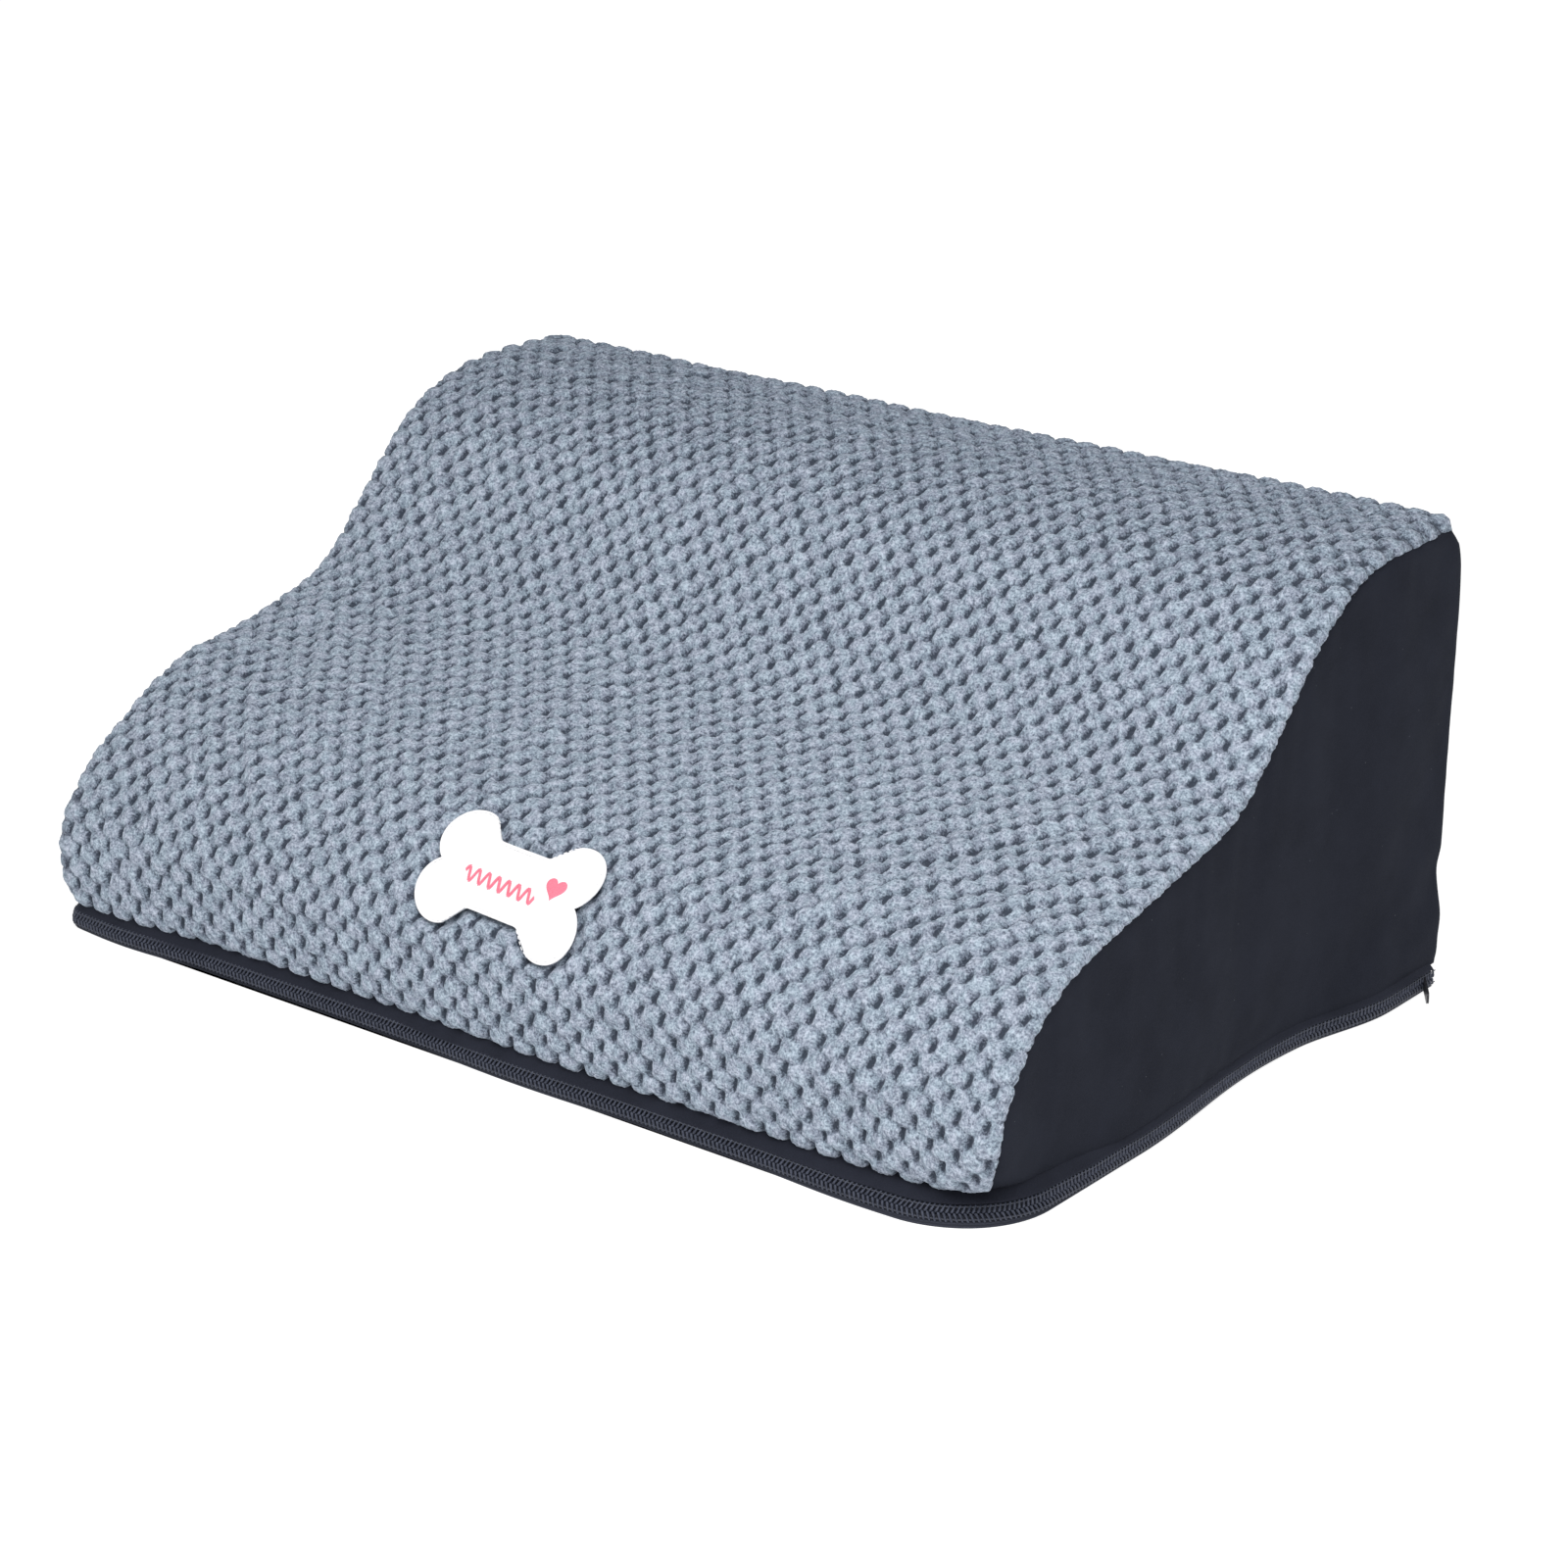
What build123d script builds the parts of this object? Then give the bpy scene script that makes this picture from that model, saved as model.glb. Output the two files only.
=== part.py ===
"""Foam pet step with a wavy top, in a zip-off cover.

Frame: origin on the floor at the centre of the base, +X to the right seen from the low front,
+Y towards the high back, +Z up. Millimetres.
"""

import os
from math import atan2, cos, radians, sin, tan

from build123d import *

# Driving dimensions
WIDTH = 600.0
DEPTH = 400.0
HEIGHT = 250.0
CORNER_RADIUS = 26.0  # front corners, seen from above

# Side profile of the cover: corners as (distance from the front, height), each with its rounding
NOSE_CORNER = (0.0, 104.0)
WAIST_CORNER = (198.0, 151.0)
CREST_CORNER = (289.0, HEIGHT)
NOSE_RADIUS = 98.0
WAIST_RADIUS = 58.0
CREST_RADIUS = 120.0
REAR_RADIUS = 9.0

# Fabric layers
FLEECE_THICKNESS = 6.0
FLEECE_HEM_Z = 13.0
REAR_LIP_DROP = 14.0  # how far the fleece comes down over the rear top edge
PANEL_THICKNESS = 1.3
BACK_THICKNESS = 1.5
BASE_THICKNESS = 0.8
LAYER_GAP = 0.1
BODY_GAP = 0.3  # between the parts that move apart when the cover opens
SIDE_INSET = 2.1  # the fleece's edges stand this far proud of the side panels
SEAM_X = 280.0  # the side panels wrap round the front corners to here

# Zipper: a coil chain standing upright on the base's edge
ZIP_Z = 5.6
CHAIN_WIDTH = 6.8
COIL_GAP = 0.2
COIL_OUTER_INSET = 1.2
COIL_THICKNESS = 2.6
TAPE_THICKNESS = 0.6
TAPE_TOP_Z = 12.9
BAND_BOTTOM_Z = 10.4
BAND_OUTER_INSET = 1.5
BAND_THICKNESS = 1.5

# Slider, seen from the right side: length along Y, width along Z
SLIDER_LENGTH = 14.0
SLIDER_WIDTH = 9.0
SLIDER_PLATE = 1.0
SLIDER_CORNER = 2.2
SLIDER_EDGE = 0.45
SLIDER_FLANGE = 0.8
SLIDER_CLEARANCE = 0.3
FLANGE_TRIM = 0.4  # a flange ends this far short of the plates' straight edges, both ends together
SLIDER_Y = DEPTH / 2 - 8.8
DIAMOND_LENGTH = 3.2
DIAMOND_WIDTH = 2.2
DIAMOND_SETBACK = 0.4  # from the plates' rear ends
BRIDGE_LENGTH = 9.0
BRIDGE_HEIGHT = 3.4
BRIDGE_WIDTH = 1.6
BRIDGE_STRAP = 0.9
BRIDGE_CORNER = 1.6

# Pull tab
PULL_LENGTH = 33.0
PULL_WIDTH = 6.0
PULL_THICKNESS = 1.2
PULL_BAR_RADIUS = 0.65
PULL_EYE_LENGTH = 6.2
PULL_EYE_WALL = 1.4
PULL_EYE_CUT = 0.5  # the eye is open past the bar by this much
PULL_CORNER = 2.0
PULL_REST_DEG = 34.0  # out from lying forwards along the side

# Bone-shaped label on the low step
LABEL_X = -4.5
LABEL_TURN_DEG = -3.0  # seen from the front, a little clockwise
LABEL_LENGTH = 104.0
LABEL_WIDTH = 62.0
LABEL_LOBE_RADIUS = 17.0
LABEL_SHAFT_WIDTH = 37.0
LABEL_THICKNESS = 1.2
LABEL_CENTRE_DEG = 41.0  # round the nose, up from level

FRONT_Y = -DEPTH / 2
BACK_Y = DEPTH / 2
COIL_INNER_INSET = COIL_OUTER_INSET + COIL_THICKNESS
TAPE_INNER_INSET = COIL_INNER_INSET + TAPE_THICKNESS
PANEL_INNER_INSET = SIDE_INSET + PANEL_THICKNESS
FOAM_INSET = TAPE_INNER_INSET + 2 * LAYER_GAP
FOAM_RELIEF_INSET = TAPE_INNER_INSET + 2 * SLIDER_CLEARANCE + SLIDER_PLATE + LAYER_GAP
FOAM_RELIEF_Z = ZIP_Z + SLIDER_WIDTH / 2 + 3 * SLIDER_CLEARANCE
FOAM_BOTTOM_Z = BASE_THICKNESS + BODY_GAP
PANELS_END_Y = BACK_Y - BACK_THICKNESS
DIAMOND_Y = SLIDER_Y + SLIDER_LENGTH / 2 - DIAMOND_LENGTH / 2 - DIAMOND_SETBACK
CHAIN_END_Y = DIAMOND_Y - DIAMOND_LENGTH / 2 - SLIDER_CLEARANCE  # closed, the chain ends at the diamond


def side_profile(inset=0.0):
    """The closed side outline of the cover, on YZ, moved in by inset."""
    points = [(0, 0), NOSE_CORNER, WAIST_CORNER, CREST_CORNER, (DEPTH, HEIGHT), (DEPTH, 0)]
    with BuildSketch() as outline:
        with BuildLine():
            FilletPolyline(
                *[(y + FRONT_Y, z) for y, z in points],
                radius=[0, NOSE_RADIUS, WAIST_RADIUS, CREST_RADIUS, REAR_RADIUS, 0],
                close=True,
            )
        make_face()
        if inset:
            offset(amount=-inset, kind=Kind.INTERSECTION)
    return outline.sketch


def plan_outline(inset=0.0, back_y=BACK_Y):
    """The plan of the base on XY, moved in by inset at the sides and front, square at back_y."""
    half = WIDTH / 2 - inset
    corner = CORNER_RADIUS - inset
    front = FRONT_Y + inset
    with BuildSketch() as outline:
        with BuildLine():
            FilletPolyline(
                (half, back_y),
                (half, front),
                (-half, front),
                (-half, back_y),
                radius=[0, corner, corner, 0],
                close=True,
            )
        make_face()
    return outline.sketch


def edge_strip(outer_inset, inner_inset, back_y=PANELS_END_Y):
    """The plan of a strip that follows the left, front and right edges, open at the back."""
    with BuildSketch() as strip:
        add(plan_outline(outer_inset, back_y))
        add(plan_outline(inner_inset, back_y), mode=Mode.SUBTRACT)
    return strip.sketch


def save(piece, name):
    piece.part.label = name
    export_step(piece.part, f"parts/{name}.step")


os.makedirs("parts", exist_ok=True)

# Foam core: one contour-cut block, eased along its bottom edge where the slider runs
with BuildPart() as foam_core:
    with BuildSketch(Plane.YZ):
        add(side_profile(FLEECE_THICKNESS + 2 * LAYER_GAP))
    extrude(amount=WIDTH / 2, both=True)
    with BuildSketch(Plane.XY.offset(FOAM_BOTTOM_Z)):
        add(plan_outline(FOAM_INSET, PANELS_END_Y - LAYER_GAP))
    extrude(amount=HEIGHT, mode=Mode.INTERSECT)
    with BuildSketch(Plane.XY):
        add(edge_strip(0, FOAM_RELIEF_INSET))
    extrude(amount=FOAM_RELIEF_Z, mode=Mode.SUBTRACT)

# Top panel: popcorn fleece from the front hem to the rear top edge
with BuildPart() as top_panel:
    with BuildSketch(Plane.YZ):
        add(side_profile())
        add(side_profile(FLEECE_THICKNESS), mode=Mode.SUBTRACT)
    extrude(amount=WIDTH / 2, both=True)
    with BuildSketch(Plane.XY.offset(FLEECE_HEM_Z)):
        add(plan_outline())
    extrude(amount=HEIGHT, mode=Mode.INTERSECT)
    with BuildSketch(Plane.XY):
        with Locations((0, BACK_Y)):
            Rectangle(WIDTH, 4 * FLEECE_THICKNESS)
    extrude(amount=HEIGHT - REAR_LIP_DROP, mode=Mode.SUBTRACT)


def side_panel(side):
    """A side panel, on the right for side 1 and on the left for side -1, up to under the fleece."""
    with BuildPart() as panel:
        with BuildSketch(Plane.YZ):
            add(side_profile(FLEECE_THICKNESS + LAYER_GAP))
        extrude(amount=WIDTH / 2, both=True)
        with BuildSketch(Plane.XY.offset(FLEECE_HEM_Z)):
            add(edge_strip(SIDE_INSET, PANEL_INNER_INSET))
            with Locations((side * (SEAM_X - WIDTH / 2), 0)):
                Rectangle(WIDTH, DEPTH, mode=Mode.SUBTRACT)
            with Locations((-side * WIDTH / 2, 0)):
                Rectangle(WIDTH, DEPTH, mode=Mode.SUBTRACT)
        extrude(amount=HEIGHT, mode=Mode.INTERSECT)
    return panel


side_panel_right = side_panel(1)
side_panel_left = side_panel(-1)

# Back panel: from the rear bottom seam up to the fleece's lip
BACK_TOP_Z = HEIGHT - REAR_LIP_DROP - LAYER_GAP
with BuildPart() as back_panel:
    with BuildSketch(Plane.XY.offset(FOAM_BOTTOM_Z)):
        with Locations((0, BACK_Y - BACK_THICKNESS / 2)):
            Rectangle(WIDTH - 2 * SIDE_INSET, BACK_THICKNESS)
    extrude(amount=BACK_TOP_Z - FOAM_BOTTOM_Z)

# Bottom panel: the fabric that stays on the floor
with BuildPart() as bottom_panel:
    with BuildSketch(Plane.XY):
        add(plan_outline(SIDE_INSET))
    extrude(amount=BASE_THICKNESS)


def edge_piece(outer_inset, inner_inset, bottom_z, top_z, back_y=CHAIN_END_Y):
    """A strip along the left, front and right edges, standing from bottom_z to top_z."""
    with BuildPart() as piece:
        with BuildSketch(Plane.XY.offset(bottom_z)):
            add(edge_strip(outer_inset, inner_inset, back_y))
        extrude(amount=top_z - bottom_z)
    return piece


# Zipper: two tapes, two rows of coil, and the band that the upper tape is sewn to
ROW_BOTTOM_Z = ZIP_Z - CHAIN_WIDTH / 2
ROW_TOP_Z = ZIP_Z + CHAIN_WIDTH / 2
zipper_tape_lower = edge_piece(
    COIL_INNER_INSET, TAPE_INNER_INSET, BASE_THICKNESS, ZIP_Z - COIL_GAP / 2
)
zipper_tape_upper = edge_piece(
    COIL_INNER_INSET, TAPE_INNER_INSET, ZIP_Z + COIL_GAP / 2, TAPE_TOP_Z
)
zipper_coil_lower = edge_piece(
    COIL_OUTER_INSET, COIL_INNER_INSET, ROW_BOTTOM_Z, ZIP_Z - COIL_GAP / 2
)
zipper_coil_upper = edge_piece(
    COIL_OUTER_INSET, COIL_INNER_INSET, ZIP_Z + COIL_GAP / 2, ROW_TOP_Z
)
upper_band = edge_piece(
    BAND_OUTER_INSET, BAND_OUTER_INSET + BAND_THICKNESS, BAND_BOTTOM_Z, FLEECE_HEM_Z, PANELS_END_Y
)


# Slider body: two plates either side of the chain, flanges along them, and the diamond
INNER_PLATE_X = WIDTH / 2 - TAPE_INNER_INSET - SLIDER_CLEARANCE - SLIDER_PLATE
OUTER_PLATE_X = WIDTH / 2 - COIL_OUTER_INSET + SLIDER_CLEARANCE
FLANGE_TIP_X = WIDTH / 2 - COIL_INNER_INSET + SLIDER_CLEARANCE
with BuildPart() as slider_body:
    for plate_x in (INNER_PLATE_X, OUTER_PLATE_X):
        with BuildSketch(Plane.YZ.offset(plate_x)):
            with Locations((SLIDER_Y, ZIP_Z)):
                RectangleRounded(SLIDER_LENGTH, SLIDER_WIDTH, SLIDER_CORNER)
        extrude(amount=SLIDER_PLATE)
    fillet(slider_body.faces().sort_by(Axis.X)[-1].edges(), SLIDER_EDGE)
    with BuildSketch(Plane.YZ.offset(FLANGE_TIP_X)):
        for flange_z in (
            ZIP_Z - SLIDER_WIDTH / 2 + SLIDER_FLANGE / 2,
            ZIP_Z + SLIDER_WIDTH / 2 - SLIDER_FLANGE / 2,
        ):
            with Locations((SLIDER_Y, flange_z)):
                Rectangle(SLIDER_LENGTH - 2 * SLIDER_CORNER - FLANGE_TRIM, SLIDER_FLANGE)
    extrude(amount=OUTER_PLATE_X - FLANGE_TIP_X + SLIDER_PLATE / 2)
    with BuildSketch(Plane.YZ.offset(INNER_PLATE_X + SLIDER_PLATE / 2)):
        with Locations((DIAMOND_Y, ZIP_Z)):
            Ellipse(DIAMOND_LENGTH / 2, DIAMOND_WIDTH / 2)
    extrude(amount=OUTER_PLATE_X - INNER_PLATE_X)


BRIDGE_FOOT_X = OUTER_PLATE_X + SLIDER_PLATE


def bridge_arch(inset, corner):
    """The closed arch of the slider's bridge on XY, standing on the outer plate, moved in by inset."""
    near_y = SLIDER_Y - BRIDGE_LENGTH / 2 + inset
    far_y = SLIDER_Y + BRIDGE_LENGTH / 2 - inset
    top_x = BRIDGE_FOOT_X + BRIDGE_HEIGHT - inset
    with BuildSketch() as arch:
        with BuildLine():
            FilletPolyline(
                (BRIDGE_FOOT_X, near_y),
                (top_x, near_y),
                (top_x, far_y),
                (BRIDGE_FOOT_X, far_y),
                radius=[0, corner, corner, 0],
                close=True,
            )
        make_face()
    return arch.sketch


# Slider bridge: a strap arched along the outer plate
with BuildPart() as slider_bridge:
    with BuildSketch(Plane.XY.offset(ZIP_Z - BRIDGE_WIDTH / 2)):
        add(bridge_arch(0, BRIDGE_CORNER))
        add(bridge_arch(BRIDGE_STRAP, BRIDGE_CORNER - BRIDGE_STRAP), mode=Mode.SUBTRACT)
    extrude(amount=BRIDGE_WIDTH)

# Pull tab: a flat tab whose eye has a cross bar through the bridge. It is drawn along -Y, then
# turned about the bar to its rest angle.
PULL_X = BRIDGE_FOOT_X + (BRIDGE_HEIGHT - BRIDGE_STRAP) / 2
EYE_WIDTH = PULL_WIDTH - 2 * PULL_EYE_WALL
with BuildPart() as pull_tab:
    with BuildSketch(Plane.YZ.offset(-PULL_THICKNESS / 2)):
        with BuildLine():
            FilletPolyline(
                (0, PULL_WIDTH / 2),
                (-PULL_LENGTH, PULL_WIDTH / 2),
                (-PULL_LENGTH, -PULL_WIDTH / 2),
                (0, -PULL_WIDTH / 2),
                radius=[0, PULL_CORNER, PULL_CORNER, 0],
                close=True,
            )
        make_face()
        with Locations((PULL_EYE_CUT - PULL_EYE_LENGTH / 2, 0)):
            Rectangle(PULL_EYE_LENGTH + 2 * PULL_EYE_CUT, EYE_WIDTH, mode=Mode.SUBTRACT)
    extrude(amount=PULL_THICKNESS)
    with BuildSketch(Plane.XY.offset(-PULL_WIDTH / 2)):
        Circle(PULL_BAR_RADIUS)
    extrude(amount=PULL_WIDTH)
pull_tab.part = Pos(PULL_X, SLIDER_Y, ZIP_Z) * Rot(0, 0, PULL_REST_DEG) * pull_tab.part

# Bone label: cut from a sheet that follows the nose's curve
climb = atan2(WAIST_CORNER[1] - NOSE_CORNER[1], WAIST_CORNER[0] - NOSE_CORNER[0])
nose_tangent = NOSE_RADIUS * tan((radians(90) - climb) / 2)
nose_y = FRONT_Y + NOSE_RADIUS
nose_z = NOSE_CORNER[1] - nose_tangent
label_plane = Plane(
    origin=(
        LABEL_X,
        nose_y - NOSE_RADIUS * cos(radians(LABEL_CENTRE_DEG)),
        nose_z + NOSE_RADIUS * sin(radians(LABEL_CENTRE_DEG)),
    ),
    x_dir=(1, 0, 0),
    z_dir=(0, -cos(radians(LABEL_CENTRE_DEG)), sin(radians(LABEL_CENTRE_DEG))),
).rotated((0, 0, LABEL_TURN_DEG))
with BuildPart() as bone_label:
    with BuildSketch(Plane.YZ):
        with Locations((nose_y, nose_z)):
            Circle(NOSE_RADIUS + LAYER_GAP / 2 + LABEL_THICKNESS)
            Circle(NOSE_RADIUS + LAYER_GAP / 2, mode=Mode.SUBTRACT)
    extrude(amount=LABEL_LENGTH, both=True)
    with BuildSketch(label_plane.offset(-LABEL_WIDTH / 2)):
        Rectangle(LABEL_LENGTH - 2 * LABEL_LOBE_RADIUS, LABEL_SHAFT_WIDTH)
        with GridLocations(
            LABEL_LENGTH - 2 * LABEL_LOBE_RADIUS, LABEL_WIDTH - 2 * LABEL_LOBE_RADIUS, 2, 2
        ):
            Circle(LABEL_LOBE_RADIUS)
    extrude(amount=LABEL_WIDTH, mode=Mode.INTERSECT)

PIECES = {
    "foam_core": foam_core,
    "top_panel": top_panel,
    "side_panel_right": side_panel_right,
    "side_panel_left": side_panel_left,
    "back_panel": back_panel,
    "upper_band": upper_band,
    "zipper_tape_upper": zipper_tape_upper,
    "zipper_coil_upper": zipper_coil_upper,
    "bone_label": bone_label,
    "bottom_panel": bottom_panel,
    "zipper_tape_lower": zipper_tape_lower,
    "zipper_coil_lower": zipper_coil_lower,
    "slider_body": slider_body,
    "slider_bridge": slider_bridge,
    "pull_tab": pull_tab,
}
for piece_name, piece in PIECES.items():
    save(piece, piece_name)
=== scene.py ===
"""Foam pet step with a wavy top in a zip-off cover: its looks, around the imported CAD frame.

The cover is one family of surfaces. A side profile runs from the fleece's hem over the low nose, the
waist and the crest to the rear top edge. A plan outline runs round the base's edge from the rear left
to the rear right. Every soft piece is a grid on one of the two.
"""

import bpy
import numpy as np
from mathutils import Matrix, Vector


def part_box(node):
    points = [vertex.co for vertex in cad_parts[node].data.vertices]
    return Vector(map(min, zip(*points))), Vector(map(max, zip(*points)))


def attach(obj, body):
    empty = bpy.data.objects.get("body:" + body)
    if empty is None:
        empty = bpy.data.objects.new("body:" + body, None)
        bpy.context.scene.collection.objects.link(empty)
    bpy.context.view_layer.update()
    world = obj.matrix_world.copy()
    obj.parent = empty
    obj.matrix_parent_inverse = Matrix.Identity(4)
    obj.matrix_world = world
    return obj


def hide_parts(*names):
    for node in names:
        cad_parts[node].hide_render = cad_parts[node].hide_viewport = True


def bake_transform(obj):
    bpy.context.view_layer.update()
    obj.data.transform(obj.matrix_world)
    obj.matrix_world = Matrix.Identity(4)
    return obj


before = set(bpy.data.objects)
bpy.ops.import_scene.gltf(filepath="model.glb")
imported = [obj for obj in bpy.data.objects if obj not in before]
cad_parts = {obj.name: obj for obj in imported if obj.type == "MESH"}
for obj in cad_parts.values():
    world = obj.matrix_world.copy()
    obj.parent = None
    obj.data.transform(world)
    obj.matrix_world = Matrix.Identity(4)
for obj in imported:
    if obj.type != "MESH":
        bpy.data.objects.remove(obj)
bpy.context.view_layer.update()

MM = 0.001
RIGHT, LEFT = 1, -1
rng = np.random.default_rng(7)

# Sizes from the frame
fleece_low, fleece_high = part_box("top_panel")
HALF = fleece_high.x
FRONT, BACK = fleece_low.y, fleece_high.y
DEPTH = BACK - FRONT
HEIGHT = fleece_high.z
HEM_Z = fleece_low.z
LIP_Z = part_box("back_panel")[1].z
SEAM_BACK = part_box("side_panel_right")[1].y
ZIP_Z = (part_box("zipper_coil_lower")[0].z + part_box("zipper_coil_upper")[1].z) / 2
CHAIN_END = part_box("zipper_coil_upper")[1].y

# Side profile, as in the CAD: corners as (distance from the front, height), and their rounding
NOSE_CORNER = (0, 104 * MM)
WAIST_CORNER = (198 * MM, 151 * MM)
CREST_CORNER = (289 * MM, HEIGHT)
NOSE_RADIUS, WAIST_RADIUS, CREST_RADIUS, REAR_RADIUS = 98 * MM, 58 * MM, 120 * MM, 9 * MM
HEM_RADIUS = 8 * MM
LIP_RADIUS = 4.5 * MM
OVER = 1 * MM  # the fleece's lumps stand this far outside the CAD's surface
TUCK = 9 * MM  # how far the fleece turns in at its hem and at its rear lip

# Popcorn fleece
BUMP = 3.9 * MM
BUMP_PITCH = 14.7 * MM
ROW_PITCH = 8.5 * MM
ROW_SLANT = 0.055  # the rows of bumps run down to the right by this slope
FLEECE_STEP = 1.1 * MM
CURL_PITCH = 2.6 * MM
CURL = 1.0 * MM
CREST_SHADE_FROM = 205 * MM  # above this height the fleece's colour gets painted shade, darker up to the crest

# Plan of the base's edge, and how the cover leans in above it
CORNER = {RIGHT: 51 * MM, LEFT: 11 * MM}
LEAN = {"side": 2 * MM, "front": 4.5 * MM, RIGHT: 10 * MM, LEFT: 2.5 * MM}
HEM_TURN = {RIGHT: np.radians(50), LEFT: np.radians(68)}  # how far round each front corner the fleece goes
SHARP_RISE = 46 * MM  # above the hem the corners sharpen over this height
ROLL = 1.4 * MM  # radius of the fleece's side edges
HOOK = 0.8 * MM  # radius of the turn that takes an edge in to its seam
SIDE_X = HALF - 2.6 * MM


def smoothstep(t):
    t = np.clip(t, 0, 1)
    return t * t * (3 - 2 * t)


def hump(v, centre, reach):
    """A smooth bump of height 1 at centre, gone at reach either side."""
    return np.where(np.abs(v - centre) < reach, 0.5 + 0.5 * np.cos(np.pi * (v - centre) / reach), 0)


def length_along(points):
    steps = np.linalg.norm(np.diff(points, axis=0), axis=1)
    return np.concatenate([[0], np.cumsum(steps)])


def read_at(values, along, at):
    """Rows of values, known at the lengths along, read at other lengths."""
    return np.stack([np.interp(at, along, values[:, k]) for k in range(values.shape[1])], axis=-1)


def sample(points, at):
    """The points of a polyline at the given lengths along it; past its ends it runs on straight."""
    at = np.asarray(at, float)
    along = length_along(points)
    first, last = points[1] - points[0], points[-1] - points[-2]
    before = np.minimum(at, 0)[..., None] * first / np.linalg.norm(first)
    after = np.maximum(at - along[-1], 0)[..., None] * last / np.linalg.norm(last)
    return read_at(points, along, at) + before + after


def sample_normals(points, at):
    """Unit normals of a polyline, to the left of its direction, at the given lengths along it."""
    return read_at(normals_2d(points), length_along(points), np.asarray(at, float))


def rounded(corners, radii, step=0.5 * MM):
    """A dense polyline through corners in the plane, each rounded by an arc."""
    corners = [np.array(c, float) for c in corners]
    out = [corners[0]]
    for k in range(1, len(corners) - 1):
        here = corners[k]
        to_last = (corners[k - 1] - here) / np.linalg.norm(corners[k - 1] - here)
        to_next = (corners[k + 1] - here) / np.linalg.norm(corners[k + 1] - here)
        half_angle = np.arccos(np.clip(to_last @ to_next, -1, 1)) / 2
        start = here + to_last * radii[k] / np.tan(half_angle)
        bisector = (to_last + to_next) / np.linalg.norm(to_last + to_next)
        centre = here + bisector * radii[k] / np.sin(half_angle)
        turn = np.pi - 2 * half_angle
        side = np.sign(to_last[0] * to_next[1] - to_last[1] * to_next[0])
        for angle in np.linspace(0, -side * turn, max(3, int(radii[k] * turn / step))):
            c, s = np.cos(angle), np.sin(angle)
            out.append(centre + np.array([[c, -s], [s, c]]) @ (start - centre))
    out.append(corners[-1])
    points = np.array(out)
    along = length_along(points)
    return sample(points, np.linspace(0, along[-1], int(along[-1] / step)))


def normals_2d(points):
    """Unit normals of a polyline in the plane, to the left of its direction."""
    d = np.gradient(points, axis=0)
    n = np.stack([-d[:, 1], d[:, 0]], axis=1)
    return n / np.linalg.norm(n, axis=1, keepdims=True)


def softened(points, sigma, keep_end, step=0.5 * MM):
    """The polyline with its bends eased, as fabric bridges them, but not near its ends."""
    reach = int(3 * sigma / step)
    weights = np.exp(-0.5 * (np.arange(-reach, reach + 1) * step / sigma) ** 2)
    weights /= weights.sum()
    padded = np.pad(points, ((reach, reach), (0, 0)), mode="edge")
    eased = np.stack([np.convolve(padded[:, k], weights, "valid") for k in range(2)], axis=1)
    along = length_along(points)
    near = smoothstep((along - keep_end) / keep_end) * smoothstep((along[-1] - keep_end - along) / keep_end)
    return points + (eased - points) * near[:, None]


# The fleece's backing in the side view, as (y, z), from the tucked hem to the tucked rear lip
outer_profile = rounded(
    [(TUCK, HEM_Z), (0, HEM_Z), NOSE_CORNER, WAIST_CORNER, CREST_CORNER,
     (DEPTH, HEIGHT), (DEPTH, LIP_Z), (DEPTH - TUCK, LIP_Z)],
    [0, HEM_RADIUS, NOSE_RADIUS, WAIST_RADIUS, CREST_RADIUS, REAR_RADIUS, LIP_RADIUS, 0],
)
outer_profile = softened(outer_profile, 9 * MM, 30 * MM) + (FRONT, 0)
outer_profile = outer_profile + OVER * normals_2d(outer_profile)
backing_profile = outer_profile - BUMP * normals_2d(outer_profile)
PROFILE_LENGTH = length_along(backing_profile)[-1]


def profile_height(y, inset):
    """The top surface's height at y, inset below the outer profile."""
    points = outer_profile - inset * normals_2d(outer_profile)
    points = points[: np.argmax(points[:, 0])]
    up = points[:, 1] > HEM_Z + 2 * SHARP_RISE / 3
    return np.interp(y, points[up, 0], points[up, 1])


def nose_lean(z):
    """How far the nose has leaned back at height z, up to where the front corners are sharp."""
    front = (outer_profile[:, 1] > HEM_Z + 2 * HEM_RADIUS) & (outer_profile[:, 0] < FRONT + 30 * MM)
    y = np.interp(np.minimum(z, HEM_Z + SHARP_RISE), outer_profile[front, 1], outer_profile[front, 0])
    return y - FRONT + OVER


# Plan outline of the base's edge, from the rear left to the rear right, as (x, y)
base_edge = rounded(
    [(-HALF, BACK), (-HALF, FRONT), (HALF, FRONT), (HALF, BACK)],
    [0, CORNER[LEFT], CORNER[RIGHT], 0],
)
EDGE_LENGTH = length_along(base_edge)[-1]
corner_start = {
    LEFT: DEPTH - CORNER[LEFT],
    RIGHT: EDGE_LENGTH - (DEPTH - CORNER[RIGHT]) - CORNER[RIGHT] * np.pi / 2,
}
corner_middle = {side: corner_start[side] + CORNER[side] * np.pi / 4 for side in (LEFT, RIGHT)}
hem_end = {
    RIGHT: corner_start[RIGHT] + CORNER[RIGHT] * HEM_TURN[RIGHT],
    LEFT: corner_start[LEFT] + CORNER[LEFT] * (np.pi / 2 - HEM_TURN[LEFT]),
}


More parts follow.
